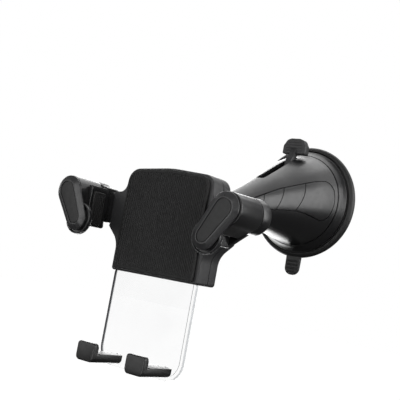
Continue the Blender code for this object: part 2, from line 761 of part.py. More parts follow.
def foot_pad():
    """Rubber liner on the back of the lip."""
    outline = raised(rounded([(HOOK_IN + 0.8, -79.9, 0.8), (HOOK_OUT - 0.8, -79.9, 0.8),
                              (HOOK_OUT - 0.8, -83.2, 0), (HOOK_IN + 0.8, -83.2, 0)], 3))
    return prism(outline, depth(-6.3), depth(-5.2))


def hook_screw():
    profile = [(0, -7.0), (0.9, -7.0), (0.9, 0), (2.1, 0), (1.7, 1.1), (0, 1.1)]
    return turned(profile, (HOOK_MIDDLE, depth(PLATE_BACK + GAP), height(SCREW_Z)), (0, 1, 0), 10)


# ---- arms --------------------------------------------------------------------------------------

def arm():
    """Drum beside the phone, gusset and grip wall, and a beam that ends in a thin tongue."""
    drum = drum_turned([(0, DRUM_FRONT), (DRUM_RADIUS - 0.5, DRUM_FRONT), (DRUM_RADIUS, DRUM_FRONT + 0.5),
                        (DRUM_RADIUS + 0.3, DRUM_BACK), (0, DRUM_BACK)])
    gusset = prism(raised(hull([(DRUM_X, DRUM_Z, DRUM_RADIUS - 0.05), (47.9, -16.45, 0.9),
                                (43.0, -13.0, 1.0)], 24)), depth(DRUM_FRONT + 0.4), depth(9.9))
    web = soften(prism(raised(hull([(DRUM_X, DRUM_Z, DRUM_RADIUS - 0.1), (41.9, -20.9, 1.3)], 24)),
                       depth(9.4), depth(12.2)), 0.5, 1, 60)
    knuckle = prism(raised([(WALL_X + 0.1, -0.2), (46.0, 1.2), (46.0, -14.0), (WALL_X + 1.4, -18.0),
                            (WALL_X + 0.1, -18.0)]), depth(9.3), depth(TONGUE_BACK))
    wall = box((WALL_X, depth(-1.2), height(-22.3)), (WALL_X + 2.6, depth(11.0), height(-1.0)))
    for piece, clearance, start in ((web, 9.1, 9.95), (knuckle, 9.2, 9.8), (wall, 9.3, 9.65)):
        cut(piece, drum_turned([(0, start), (clearance, start), (clearance, 30), (0, 30)]))
    inner_end = 26.4
    beam = box((inner_end, depth(BODY_INSIDE + GAP), height(-18.5)),
               (WALL_X + 1.2, depth(TONGUE_BACK - 0.05), height(-2.2)))
    tongue = box((6.2, depth(TONGUE_FRONT), height(-17.4)),
                 (inner_end + 3, depth(TONGUE_BACK - 0.1), height(-4.3)))
    made = join(drum, gusset, web, wall, knuckle, beam, tongue)
    cut(made, box((WALL_X - 1, depth(-0.4), height(-21.4)), (WALL_X + 0.5, depth(8.6), height(-3.6))))
    scoop, floor = BOOT_RADIUS + GAP, BOOT_BACK + GAP
    cut(made, boot_turned([(0, -10.0), (scoop, -10.0), (scoop, floor), (0, floor)]))
    return cut(made, rod((PIN_X, depth(TONGUE_FRONT - 1), height(PIN_Z)),
                         (PIN_X, depth(TONGUE_BACK + 1), height(PIN_Z)), SLIDE_PIN_RADIUS + GAP, 12))


def drum_turned(profile):
    """A solid turned on the drum's axis; its distances count from the phone's glass."""
    return turned(profile, (DRUM_X, GLASS_Y, height(DRUM_Z)), steps=28)


def boot_turned(profile):
    """A solid turned about the paddle's lower end."""
    lean = math.radians(PADDLE_TILT)
    x = PADDLE_X - PADDLE_HALF_LENGTH * math.sin(lean)
    z = PADDLE_Z - PADDLE_HALF_LENGTH * math.cos(lean)
    return turned(profile, (x, GLASS_Y, height(z)), steps=28)


def arm_cap():
    """Rounded cover on the drum's rear end."""
    start = DRUM_BACK + 0.4
    return drum_turned([(0, start), (8.35, start), (8.75, 16.3), (8.25, 17.4), (6.2, 18.4), (0, 18.6)])


def grip_pad():
    return soften(box((PHONE_HALF_WIDTH + GAP, depth(-0.1), height(-21.1)),
                      (WALL_X + 0.2, depth(8.3), height(-3.9))), 0.5, 1)


def paddle_rim():
    """Round rubber boot behind the paddle's lower end, with a raised lip round a groove."""
    return boot_turned([(0, -7.3), (5.9, -7.3), (6.1, -5.7), (7.4, -5.7), (7.6, -7.0),
                        (BOOT_RADIUS - 0.15, -7.0), (BOOT_RADIUS, -6.6), (BOOT_RADIUS, BOOT_BACK),
                        (0, BOOT_BACK)])


def paddle_outline(upper):
    return raised(tapered_slot(PADDLE_X, PADDLE_Z, PADDLE_HALF_LENGTH, upper, upper - PADDLE_TAPER,
                               PADDLE_TILT, 7))


def paddle_plate():
    """Plate with sloping sides and a shallow pocket for the inlay."""
    levels = ((7.7, -7.6), (7.8, -8.3), (5.3, -9.75), (5.05, -9.9))
    plate = loft([[(x, depth(at), z) for x, z in paddle_outline(upper)] for upper, at in levels])
    return cut(plate, prism(paddle_outline(4.7), depth(-12), depth(-8.8)))


def paddle_inlay():
    return soften(prism(paddle_outline(4.7 - GAP), depth(-9.75), depth(-8.8 - GAP)), 0.2, 1, 60)


def slide_pin():
    profile = [(0, -4.0), (1.1, -4.0), (SLIDE_PIN_RADIUS, -3.7), (SLIDE_PIN_RADIUS, 0), (0, 0)]
    return turned(profile, (PIN_X, depth(TONGUE_BACK - 0.1), height(PIN_Z)), (0, 1, 0), 12)


# ---- assembly ----------------------------------------------------------------------------------

def looks():
    return {
        "shell": look("black_gloss_plastic", (0.012, 0.012, 0.013), 0.28),
        "matte": look("black_matte_plastic", (0.02, 0.02, 0.021), 0.5),
        "grey": look("dark_grey_plastic", (0.045, 0.045, 0.047), 0.45),
        "rubber": look("black_rubber", (0.018, 0.018, 0.018), 0.75),
        "clear": look("clear_plastic", (0.9, 0.92, 0.93), 0.05, 0.0, 0.3),
        "white": look("white_nylon", (0.7, 0.7, 0.68), 0.45),
        "steel": look("steel", (0.6, 0.6, 0.62), 0.3, 1.0),
        "gel": look("gel", (0.05, 0.05, 0.055), 0.35),
    }


def build_base(kit):
    base = joint_empty("base_frame", (0, 0, 0))
    settle(suction_cup(), "suction_cup", kit["rubber"], base)
    settle(gel_pad(), "gel_pad", kit["gel"], base)
    settle(base_ring(), "base_ring", kit["shell"], base)
    settle(horn_shell(), "horn_shell", kit["shell"], base)
    for side in ("left", "right"):
        settle(side_panel(side), "side_panel_" + side, kit["shell"], base)
    settle(cam_washer(), "cam_washer", kit["steel"], base)
    settle(cup_spring(), "cup_spring", kit["steel"], base)
    for index in range(3):
        settle(ring_screw(index), f"ring_screw_{index + 1}", kit["steel"], base)
    settle(ball_stud(), "ball_stud", kit["matte"], base)
    settle(ball_nut(), "ball_nut", kit["steel"], base)
    stud_axis = joint_empty("stud_axis", (0, *PIVOT), base)
    settle(cup_stud(), "cup_stud", kit["matte"], stud_axis)
    settle(lever_pin(), "lever_pin", kit["steel"], stud_axis)
    lever_axis = joint_empty("lever_axis", (0, *PIVOT), stud_axis)
    settle(lever(), "lever", kit["matte"], lever_axis)


def build_head(kit):
    pan = joint_empty("ball_pan_axis", BALL)
    settle(ball_liner(), "ball_liner", kit["white"], pan)
    tilt = joint_empty("ball_tilt_axis", BALL, pan)
    settle(ball_collet(), "ball_collet", kit["grey"], tilt)
    head = joint_empty("head_axis", BALL, tilt)
    nut = joint_empty("nut_axis", BALL, head)
    settle(lock_nut(), "lock_nut", kit["matte"], nut)
    settle(rear_cover(), "rear_cover", kit["matte"], head)
    settle(front_cover(), "front_cover", kit["matte"], head)
    settle(front_pad(), "front_pad", kit["rubber"], head)
    for index, (x, z) in enumerate(SCREW_SPOTS):
        settle(cover_screw(x, z), f"cover_screw_{index + 1}", kit["steel"], head)
    for side in ("left", "right"):
        settle(return_spring(side), "return_spring_" + side, kit["steel"], head)
    build_foot(kit, head)
    for side in ("left", "right"):
        build_arm(kit, side, head)


def build_foot(kit, head):
    foot = joint_empty("foot_slide_axis", (0, depth(PLATE_FRONT), height(BODY_BOTTOM)), head)
    settle(foot_plate(), "foot_plate", kit["clear"], foot)
    settle(carriage(), "carriage", kit["white"], foot)
    for side in ("left", "right"):
        settle(sided(foot_hook, side), "foot_hook_" + side, kit["matte"], foot)
        settle(sided(foot_pad, side), "foot_pad_" + side, kit["rubber"], foot)
        settle(sided(hook_screw, side), "hook_screw_" + side, kit["steel"], foot)


def build_arm(kit, side, head):
    sign = 1 if side == "right" else -1
    slide = joint_empty("arm_slide_axis_" + side, (sign * PIN_X, depth(TONGUE_FRONT), height(PIN_Z)), head)
    pieces = ((arm, "arm", "shell"), (arm_cap, "arm_cap", "shell"), (grip_pad, "grip_pad", "rubber"),
              (paddle_rim, "paddle_rim", "rubber"), (paddle_plate, "paddle_plate", "grey"),
              (paddle_inlay, "paddle_inlay", "matte"), (slide_pin, "slide_pin", "steel"))
    for build, name, finish in pieces:
        settle(sided(build, side), f"{name}_{side}", kit[finish], slide)


def main():
    clear_scene()
    kit = looks()
    build_base(kit)
    build_head(kit)


main()
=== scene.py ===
"""Looks of the car phone mount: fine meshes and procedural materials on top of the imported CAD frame.

Lengths in the mesh code are millimetres in the CAD's own frame: the origin is the centre of the
suction face, +Y points into the windscreen, +Z up and +X to the viewer's right.
"""

import json
import math

import bmesh
import bpy
from mathutils import Matrix, Vector


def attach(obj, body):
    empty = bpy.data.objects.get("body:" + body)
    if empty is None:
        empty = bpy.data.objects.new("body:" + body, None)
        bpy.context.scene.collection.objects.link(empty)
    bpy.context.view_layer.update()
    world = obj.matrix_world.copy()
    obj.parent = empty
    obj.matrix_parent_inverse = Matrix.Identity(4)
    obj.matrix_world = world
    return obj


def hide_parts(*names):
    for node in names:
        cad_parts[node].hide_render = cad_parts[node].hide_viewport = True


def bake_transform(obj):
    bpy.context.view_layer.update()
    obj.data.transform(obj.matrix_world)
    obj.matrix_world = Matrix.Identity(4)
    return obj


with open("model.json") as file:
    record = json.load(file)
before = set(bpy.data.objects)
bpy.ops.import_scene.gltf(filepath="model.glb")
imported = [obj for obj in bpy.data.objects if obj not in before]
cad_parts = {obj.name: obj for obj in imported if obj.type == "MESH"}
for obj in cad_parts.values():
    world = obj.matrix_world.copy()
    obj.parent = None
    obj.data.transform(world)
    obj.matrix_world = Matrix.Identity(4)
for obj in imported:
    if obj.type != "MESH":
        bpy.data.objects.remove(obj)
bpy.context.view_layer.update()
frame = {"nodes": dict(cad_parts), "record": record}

MM = 0.001
GAP = 0.3
GLASS_Y = -147.5
PHONE_Z = -19.8

CUP_RADIUS = 35.2
RING_FRONT = -12.1
WEB_FRONT = -14.6
WALL = 2.4
HORN_STATIONS = (
    (-89.5, -17.8, 7.6),
    (-81.5, -15.8, 8.2),
    (-67.5, -11.8, 11.2),
    (-47.5, -6.5, 17.4),
    (-27.5, -2.0, 24.4),
    (-12.4, 0.0, 28.3),
)
SLOT_FRONT, SLOT_REAR, SLOT_HALF_WIDTH = -58.0, -22.8, 2.7
PIVOT = (-25.5, 0.0)
CAM_HIGH, CAM_LIFT, LEVER_SWING = 8.0, 2.5, 60.0
PIN_RADIUS = 1.5
ROD_RADIUS = 3.0
BALL = Vector((0.0, -107.5, -23.3))
BALL_RADIUS = 8.5
NECK_RADIUS = 3.4
NECK_TILT = 17.0
SOCKET_INNER, SOCKET_OUTER = 10.9, 12.3
NUT_INNER, NUT_OUTER = 12.6, 14.6
PAD_FACE, PAD_BACK = 9.0, 10.4
BODY_FACE, BODY_INSIDE = 10.7, 12.0
PLATE_FRONT, PLATE_BACK = 12.4, 14.3
TONGUE_FRONT, TONGUE_BACK = 16.9, 18.7
COVER_SPLIT = 19.0
REAR_INSIDE, REAR_FACE = 24.2, 26.0
BODY_HALF_WIDTH = 28.3
BODY_BOTTOM = -42.1
MOUTH_X = 35.8
PLATE_HALF_WIDTH, PLATE_BOTTOM = 26.9, -90.6
PIN_X, PIN_Z = 10.0, -10.85
SLIDE_PIN_RADIUS = 1.4
SPRING_X, SPRING_DEPTH = 12.0, 21.2
SPRING_LOW, SPRING_HIGH = -40.2, -29.3
SCREW_SPOTS = ((-19.5, 5.2), (19.5, 5.2), (-24.0, -28.8), (24.0, -28.8))
DRUM_X, DRUM_Z = 50.8, -5.85
DRUM_FRONT, DRUM_BACK = -7.3, 10.3
DRUM_RADIUS = 8.1
PADDLE_X, PADDLE_Z = 45.8, -12.6
PADDLE_HALF_LENGTH, PADDLE_TILT = 8.1, 32.5
PADDLE_TAPER = 1.3
BOOT_RADIUS, BOOT_BACK = 8.2, -4.6
WALL_X = 40.6
PHONE_HALF_WIDTH = 38.8
HOOK_IN, HOOK_OUT = 10.2, 22.0
HOOK_MIDDLE, SCREW_Z = 16.1, -85.6
PEG_X, PEG_Z = 9.0, -29.0
RIB_PITCH, RIB_LEAN = 1.25, 30.0

FLOOR_Z, FLOOR_REACH = -0.24, 3.0
AIM = Vector((0.0, -0.09, -0.02))
CAMERA_PLACE = Vector((0.2670, -0.45589, -0.0575))
CAMERA_RIGHT = Vector((0.78897, 0.58763, 0.17943))
CAMERA_BACK = Vector((0.60801, -0.78878, -0.09021))
CAMERA_LENS = 74.79
SOFTBOXES = (
    ("back_left", (-0.66, 0.60, -0.05), 0.9, 0.7, 1.3, 5.0),
    ("overhead", (-0.30, 0.45, 0.85), 0.9, 0.9, 0.7, 2.2),
    ("right_side", (0.88, 0.36, 0.26), 0.9, 0.55, 0.7, 4.6),
    ("front_left", (-0.60, -0.79, 0.12), 1.2, 0.9, 0.9, 1.5),
    ("camera_side", (0.90, -0.40, 0.14), 1.2, 0.9, 0.5, 3.7),
    ("upper_right", (0.42, 0.48, 0.76), 0.9, 0.55, 0.6, 1.3),
    ("front_strip", (0.09, -0.87, 0.06), 1.0, 0.4, 1.3, 3.2),
)
ROOM_BELOW, ROOM_ABOVE = 0.07, 0.18


# ---- shape helpers -----------------------------------------------------------------------------

def mesh_object(build):
    """A new object from a mesh in millimetres."""
    bmesh.ops.recalc_face_normals(build, faces=build.faces)
    mesh = bpy.data.meshes.new("shape")
    build.to_mesh(mesh)
    build.free()
    mesh.transform(Matrix.Scale(MM, 4))
    obj = bpy.data.objects.new("shape", mesh)
    bpy.context.scene.collection.objects.link(obj)
    return obj


def rounded(corners, steps=8):
    """A closed outline from (across, up, radius) corners, each round one drawn as an arc."""
    points = []
    for index, (x, z, radius) in enumerate(corners):
        here = Vector((x, z))
        if radius == 0:
            points.append(here)
            continue
        before = (Vector(corners[index - 1][:2]) - here).normalized()
        after = (Vector(corners[(index + 1) % len(corners)][:2]) - here).normalized()
        half = before.angle(after) / 2
        centre = here + (before + after).normalized() * radius / math.sin(half)
        start = here + before * radius / math.tan(half) - centre
        end = here + after * radius / math.tan(half) - centre
        sweep = start.angle_signed(end)
        for step in range(steps + 1):
            points.append(centre + Matrix.Rotation(-sweep * step / steps, 2) @ start)
    return [tuple(point) for point in points]


def tapered_slot(centre_x, centre_z, half_length, upper, lower, tilt, steps=28, straight=10):
    """Outline of two round ends joined by straights, its long axis tilted from +Z towards +X."""
    lean = math.radians(tilt)
    flare = math.asin((upper - lower) / (2 * half_length))
    ends = ((half_length, upper, -flare, math.pi + 2 * flare),
            (-half_length, lower, math.pi + flare, math.pi - 2 * flare))
    arcs = []
    for end, radius, start, sweep in ends:
        angles = [start + sweep * step / steps for step in range(steps + 1)]
        arcs.append([Vector((radius * math.cos(a), radius * math.sin(a) + end)) for a in angles])
    local = []
    for arc, following in ((arcs[0], arcs[1]), (arcs[1], arcs[0])):
        local += arc
        local += [arc[-1].lerp(following[0], step / straight) for step in range(1, straight)]
    return [(centre_x + x * math.cos(lean) + y * math.sin(lean),
             centre_z - x * math.sin(lean) + y * math.cos(lean)) for x, y in local]


def hull(circles, steps=72):
    """Convex outline round some (x, z, radius) circles."""
    points = [Vector((x + r * math.cos(math.tau * s / steps), z + r * math.sin(math.tau * s / steps)))
              for x, z, r in circles for s in range(steps)]
    start = min(points, key=lambda p: (p.x, p.y))
    outline, here = [], start
    while True:
        outline.append((here.x, here.y))
        best = points[0]
        for point in points:
            turn = (best - here).cross(point - here) if (best - here).length else 1.0
            if turn > 1e-9:
                best = point
        here = best
        if (here - start).length < 1e-6:
            return outline


def to_world(across, up, depth_at, axis):
    if axis == "Y":
        return (across, depth_at, up)
    if axis == "X":
        return (depth_at, across, up)
    return (across, up, depth_at)


def prism(outline, low, high, axis="Y"):
    return loft([[to_world(a, b, place, axis) for a, b in outline] for place in (low, high)])


def box(low, high):
    outline = [(low[0], low[2]), (high[0], low[2]), (high[0], high[2]), (low[0], high[2])]
    return prism(outline, low[1], high[1])


def loft(rings):
    """A closed skin through rings of equal point counts, with a flat cap on each end."""
    build = bmesh.new()
    levels = [[build.verts.new(point) for point in ring] for ring in rings]
    count = len(levels[0])
    for lower, upper in zip(levels, levels[1:]):
        for i in range(count):
            j = (i + 1) % count
            build.faces.new((lower[i], lower[j], upper[j], upper[i]))
    build.faces.new(levels[0][::-1])
    build.faces.new(levels[-1])
    return mesh_object(build)


def turned(profile, origin=(0, 0, 0), direction=(0, 1, 0), steps=96):
    """A solid turned from (radius, distance) points; a radius of zero closes it on the axis."""
    axis = Vector(direction).normalized()
    turn = axis.to_track_quat("Z", "Y")
    build = bmesh.new()
    rows = []
    for radius, distance in profile:
        if radius == 0:
            rows.append([build.verts.new(Vector(origin) + axis * distance)] * steps)
            continue
        angles = (math.tau * step / steps for step in range(steps))
        rows.append([build.verts.new(Vector(origin) + turn @ Vector(
            (radius * math.cos(a), radius * math.sin(a), distance))) for a in angles])
    pairs = list(zip(rows, rows[1:])) if profile[0][0] == 0 else list(zip(rows, rows[1:] + rows[:1]))
    for lower, upper in pairs:
        for i in range(steps):
            j = (i + 1) % steps
            corners = list(dict.fromkeys((lower[i], lower[j], upper[j], upper[i])))
            if len(corners) > 2:
                build.faces.new(corners)
    return mesh_object(build)


def eased(profile, radius=0.3, steps=3):
    """Rounds the corners of a turned profile, leaving points on the axis alone."""
    points = []
    count = len(profile)
    for index, (r, y) in enumerate(profile):
        here = Vector((r, y))
        closed = profile[0][0] != 0
        if r == 0 or (not closed and index in (0, count - 1)):
            points.append((r, y))
            continue
        before = Vector(profile[index - 1]) - here
        after = Vector(profile[(index + 1) % count]) - here
        reach = min(radius, before.length * 0.45, after.length * 0.45)
        start, end = here + before.normalized() * reach, here + after.normalized() * reach
        for step in range(steps + 1):
            t = step / steps
            spot = start * (1 - t) ** 2 + here * 2 * t * (1 - t) + end * t ** 2
            points.append((spot.x, spot.y))
    return points


def rod(start, end, radius, steps=40):
    start, end = Vector(start), Vector(end)
    length = (end - start).length
    return turned([(0, 0), (radius, 0), (radius, length), (0, length)], start, end - start, steps)


def coil(origin, direction, radius, wire, length, turns, steps=28, sides=10):
    """A round-wire spring with its first and last turns closed up."""
    axis = Vector(direction).normalized()
    turn = axis.to_track_quat("Z", "Y")
    total = int(turns * steps)
    rings = []
    for step in range(total + 1):
        share = step / total
        angle = math.tau * turns * share
        rise = wire + (length - 2 * wire) * (share - 0.09 * math.sin(math.tau * share) / 1.2)
        outward = Vector((math.cos(angle), math.sin(angle), 0))
        middle = outward * radius + Vector((0, 0, rise))
        around = [math.tau * side / sides for side in range(sides)]
        rings.append([Vector(origin) + turn @ (middle + wire * (
            outward * math.cos(a) + Vector((0, 0, 1)) * math.sin(a))) for a in around])
    return loft(rings)


def bake(obj):
    graph = bpy.context.evaluated_depsgraph_get()
    mesh = bpy.data.meshes.new_from_object(obj.evaluated_get(graph))
    obj.modifiers.clear()
    obj.data = mesh
    return obj


def combine(target, others, operation):
    for other in others:
        step = target.modifiers.new("step", "BOOLEAN")
        step.operation = operation
        step.object = other
        bake(target)
        bpy.data.objects.remove(other)
    return target


def join(target, *others):
    return combine(target, others, "UNION")


def cut(target, *others):
    return combine(target, others, "DIFFERENCE")


def common(target, *others):
    return combine(target, others, "INTERSECT")


def soften(obj, width, segments=3, angle=50):
    step = obj.modifiers.new("Bevel", "BEVEL")
    step.width = width * MM
    step.segments = segments
    step.limit_method = "ANGLE"
    step.angle_limit = math.radians(angle)
    return bake(obj)


def mirrored(obj):
    obj.data.transform(Matrix.Scale(-1, 4, (1, 0, 0)))
    obj.data.flip_normals()
    return obj


def depth(behind_glass):
    return GLASS_Y + behind_glass


def height(above_middle):
    return PHONE_Z + above_middle


def raised(outline):
    return [(x, height(z)) for x, z in outline]


def head_outline(corners, steps=10):
    return rounded([(x, height(z), r) for x, z, r in corners], steps)


def peg(x, z, front, back, radius, steps=40):
    """A rod along the depth at one place on the holder's face."""
    return rod((x, depth(front), height(z)), (x, depth(back), height(z)), radius, steps)


def drum_turned(profile, steps=96):
    return turned(profile, (DRUM_X, GLASS_Y, height(DRUM_Z)), steps=steps)


# ---- materials ---------------------------------------------------------------------------------

def node(tree, kind, **settings):
    made = tree.nodes.new(kind)
    for key, value in settings.items():
        setattr(made, key, value)
    return made


def noise(tree, coordinates, scale, detail=3.0, roughness=0.55):
    made = node(tree, "ShaderNodeTexNoise")
    made.inputs["Scale"].default_value = scale
    made.inputs["Detail"].default_value = detail
    made.inputs["Roughness"].default_value = roughness
    tree.links.new(coordinates, made.inputs["Vector"])
    return made.outputs["Fac"]


def remap(tree, value, low, high, to_low, to_high):
    made = node(tree, "ShaderNodeMapRange")
    made.inputs["From Min"].default_value = low
    made.inputs["From Max"].default_value = high
    made.inputs["To Min"].default_value = to_low
    made.inputs["To Max"].default_value = to_high
    tree.links.new(value, made.inputs["Value"])
    return made.outputs["Result"]


def combine_values(tree, operation, first, second):
    made = node(tree, "ShaderNodeMath", operation=operation)
    for slot_index, value in enumerate((first, second)):
        if isinstance(value, (int, float)):
            made.inputs[slot_index].default_value = value
        else:
            tree.links.new(value, made.inputs[slot_index])
    return made.outputs["Value"]


def finish_material(name, colour, roughness, grain_mm, grain_depth, mottle=0.12, wear=0.5,
                    smudge=0.05, metallic=0.0, coat=0.0, specular=0.5, brushed=None):
    """Moulded or machined surface: grain in the bump, uneven gloss, faint colour drift, worn edges."""
    made = bpy.data.materials.new(name)
    made.use_nodes = True
    tree = made.node_tree
    shader = tree.nodes["Principled BSDF"]
    place = node(tree, "ShaderNodeTexCoord").outputs["Object"]
    stretched = place
    if brushed:
        mapping = node(tree, "ShaderNodeMapping")
        mapping.inputs["Scale"].default_value = brushed
        tree.links.new(place, mapping.inputs["Vector"])
        stretched = mapping.outputs["Vector"]
    fine = noise(tree, stretched, 1 / (grain_mm * MM), 2.0, 0.6)
    cloud = noise(tree, place, 55.0, 4.0)
    film = noise(tree, place, 420.0, 3.0)
    specks = noise(tree, place, 2600.0, 1.0)
    edge = remap(tree, node(tree, "ShaderNodeNewGeometry").outputs["Pointiness"], 0.53, 0.62, 0.0, wear)
    drift = remap(tree, cloud, 0.3, 0.7, 1 - mottle, 1 + mottle)
    dusty = remap(tree, specks, 0.72, 0.8, 0.0, 0.35)
    bright = combine_values(tree, "ADD", drift, combine_values(tree, "ADD", edge, dusty))
    base_colour_node = node(tree, "ShaderNodeVectorMath", operation="SCALE")
    base_colour_node.inputs[0].default_value = colour
    tree.links.new(bright, base_colour_node.inputs["Scale"])
    tree.links.new(base_colour_node.outputs["Vector"], shader.inputs["Base Color"])
    uneven = remap(tree, film, 0.3, 0.7, roughness - smudge, roughness + smudge)
    worn = combine_values(tree, "MULTIPLY", edge, 0.12)
    tree.links.new(combine_values(tree, "ADD", uneven, worn), shader.inputs["Roughness"])
    shader.inputs["Metallic"].default_value = metallic
    shader.inputs["Coat Weight"].default_value = coat
    shader.inputs["Coat Roughness"].default_value = 0.2
    shader.inputs["Specular IOR Level"].default_value = specular
    bump = node(tree, "ShaderNodeBump")
    bump.inputs["Strength"].default_value = 1.0
    bump.inputs["Distance"].default_value = grain_depth * MM
    tree.links.new(fine, bump.inputs["Height"])
    tree.links.new(bump.outputs["Normal"], shader.inputs["Normal"])
    return made


def clear_material(name):
    """Clear acrylic: faint faces with handling marks, pale near edges as painted edge light and darker far
    edges as painted shade.
    """
    made = bpy.data.materials.new(name)
    made.use_nodes = True
    tree = made.node_tree
    shader = tree.nodes["Principled BSDF"]
    coordinates = node(tree, "ShaderNodeTexCoord")
    place = coordinates.outputs["Object"]
    marks = noise(tree, place, 900.0, 2.0)
    cloud = noise(tree, place, 40.0, 3.0)
    parts = node(tree, "ShaderNodeSeparateXYZ")
    tree.links.new(coordinates.outputs["Normal"], parts.inputs["Vector"])
    facing = combine_values(tree, "ABSOLUTE", parts.outputs["Y"], 0.0)
    # edge marks the plate's edge faces: seen from the front they get painted edge light (pale grey), seen
    # from behind painted shade (dark grey).
    edge = remap(tree, facing, 0.35, 0.9, 1.0, 0.0)
    behind = node(tree, "ShaderNodeNewGeometry").outputs["Backfacing"]
    far = combine_values(tree, "MULTIPLY", edge, behind)
    base_colour_node = node(tree, "ShaderNodeMix", data_type="RGBA")
    base_colour_node.inputs["A"].default_value = (0.40, 0.42, 0.44, 1)
    base_colour_node.inputs["B"].default_value = (0.06, 0.06, 0.065, 1)
    tree.links.new(far, base_colour_node.inputs["Factor"])
    tree.links.new(base_colour_node.outputs["Result"], shader.inputs["Base Color"])
    # Alpha rises on the edge faces so that the painted edge light and painted shade show.
    body = combine_values(tree, "ADD", remap(tree, cloud, 0.3, 0.7, 0.03, 0.06),
                          combine_values(tree, "ADD", combine_values(tree, "MULTIPLY", edge, 0.55),
                                         combine_values(tree, "MULTIPLY", far, 0.4)))
    tree.links.new(body, shader.inputs["Alpha"])
    tree.links.new(remap(tree, marks, 0.35, 0.75, 0.04, 0.12), shader.inputs["Roughness"])
    shader.inputs["IOR"].default_value = 1.49
    bump = node(tree, "ShaderNodeBump")
    bump.inputs["Strength"].default_value = 0.1
    bump.inputs["Distance"].default_value = 0.002 * MM
    tree.links.new(marks, bump.inputs["Height"])
    tree.links.new(bump.outputs["Normal"], shader.inputs["Normal"])
    return made


MATERIALS = {
    "shell": finish_material("satin_black", (0.008, 0.008, 0.0085), 0.33, 0.35, 0.006),
    "matte": finish_material("fine_matte_black", (0.017, 0.017, 0.018), 0.5, 0.28, 0.012),
    "grey": finish_material("plate_grey", (0.026, 0.026, 0.027), 0.32, 0.25, 0.009),
    "boot": finish_material("smooth_rubber", (0.016, 0.016, 0.017), 0.36, 0.3, 0.006, 0.15, 0.3),
    "inset": finish_material("inset_black", (0.006, 0.006, 0.0062), 0.55, 0.28, 0.012),
    "cup": finish_material("cup_rubber", (0.008, 0.008, 0.008), 0.5, 0.3, 0.01, 0.15, 0.25),
    "hook": finish_material("dense_black", (0.007, 0.007, 0.007), 0.4, 0.28, 0.01),
    "rubber": finish_material("black_rubber", (0.009, 0.009, 0.009), 0.66, 0.2, 0.016, 0.18, 0.25, 0.08,
                              specular=0.35),
    "gel": finish_material("dark_gel", (0.035, 0.035, 0.04), 0.3, 0.6, 0.006, 0.1, 0.2, 0.12, coat=0.4),
    "nylon": finish_material("natural_nylon", (0.62, 0.61, 0.57), 0.42, 0.3, 0.008, 0.06, 0.1),
    "steel": finish_material("zinc_steel", (0.55, 0.55, 0.57), 0.3, 0.25, 0.006, 0.15, 0.2, 0.09,
                             metallic=1.0, brushed=(1.0, 8.0, 1.0)),
    "clear": clear_material("clear_acrylic"),
}


def clean(obj):
    """Welds the hair-thin slivers that cutting and joining leave behind."""
    build = bmesh.new()
    build.from_mesh(obj.data)
    bmesh.ops.remove_doubles(build, verts=build.verts, dist=0.002 * MM)
    bmesh.ops.dissolve_degenerate(build, dist=0.002 * MM, edges=build.edges)
    build.to_mesh(obj.data)
    build.free()


def place_piece(obj, name, slot, body, *nodes, finish=None, stretch=None):
    """Names a finished piece, shades it, and puts it on its CAD body in place of the CAD nodes."""
    clean(obj)
    obj.name = name
    obj.data.name = name
    obj.data.materials.clear()
    obj.data.materials.append(MATERIALS[finish or slot])
    obj.data.shade_smooth()
    obj.data.set_sharp_from_angle(angle=math.radians(32))
    if stretch:
        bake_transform(obj)
    else:
        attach(obj, body)
    if nodes:
        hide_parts(*nodes)
    return obj


# ---- suction base ------------------------------------------------------------------------------

def station_slopes(index):
    before = HORN_STATIONS[max(index - 1, 0)]
    after = HORN_STATIONS[min(index + 1, len(HORN_STATIONS) - 1)]
    return [(after[k] - before[k]) / (after[0] - before[0]) for k in (1, 2)]


def horn_at(distance):
    """Height of the horn's centre and its radius, smooth between the stations."""
    first = HORN_STATIONS[0]
    if distance < first[0]:
        return [first[k] + station_slopes(0)[k - 1] * (distance - first[0]) for k in (1, 2)]
    for index, (low, high) in enumerate(zip(HORN_STATIONS, HORN_STATIONS[1:])):
        if distance <= high[0]:
            break
    span = high[0] - low[0]
    t = (distance - low[0]) / span
    basis = (2 * t**3 - 3 * t**2 + 1, (t**3 - 2 * t**2 + t) * span,
             3 * t**2 - 2 * t**3, (t**3 - t**2) * span)
    values = []
    for k in (1, 2):
        terms = (low[k], station_slopes(index)[k - 1], high[k], station_slopes(index + 1)[k - 1])
        values.append(sum(weight * term for weight, term in zip(basis, terms)))
    return values


def horn_skin(inset, first, last, rings, steps):
    """Solid of the horn's shape between two depths, drawn in by the inset."""
    sections = []
    for ring in range(rings + 1):
        distance = first + (last - first) * ring / rings
        middle, radius = horn_at(min(distance, HORN_STATIONS[-1][0]))
        turns = (math.tau * step / steps for step in range(steps))
        sections.append([((radius - inset) * math.cos(a), distance,
                          middle + (radius - inset) * math.sin(a)) for a in turns])
    return loft(sections)


def leaf_outline(inset=0.0):
    corners = ((-75.6, -15.9, 2.4, 1, 1), (-75.6, -10.4, 2.4, 1, -1), (-54.0, 0.3, 60, 0, -1),
               (-30.0, 9.7, 40, 0, -1), (-16.0, 13.0, 5.5, -1, -1), (-14.5, 0.0, 30, -1, 0),
               (-17.0, -13.0, 6.0, -1, 1), (-40.0, -9.9, 60, 0, 1))
    return rounded([(y + inset * in_y, z + inset * in_z, radius)
                    for y, z, radius, in_y, in_z in corners], 8)


def arc_strip(low, middle, high, half_width=0.22, steps=10):
    """Narrow curved strip through three (distance, height) points."""
    line = []
    for step in range(steps + 1):
        t = step / steps
        spot = (Vector(low) * (1 - t) * (1 - 2 * t) + Vector(middle) * 4 * t * (1 - t)
                + Vector(high) * t * (2 * t - 1))
        line.append(spot)
    sides = [[], []]
    for index, spot in enumerate(line):
        along = (line[min(index + 1, steps)] - line[max(index - 1, 0)]).normalized()
        normal = Vector((-along.y, along.x)) * half_width
        sides[0].append(tuple(spot + normal))
        sides[1].append(tuple(spot - normal))
    return sides[0] + sides[1][::-1]


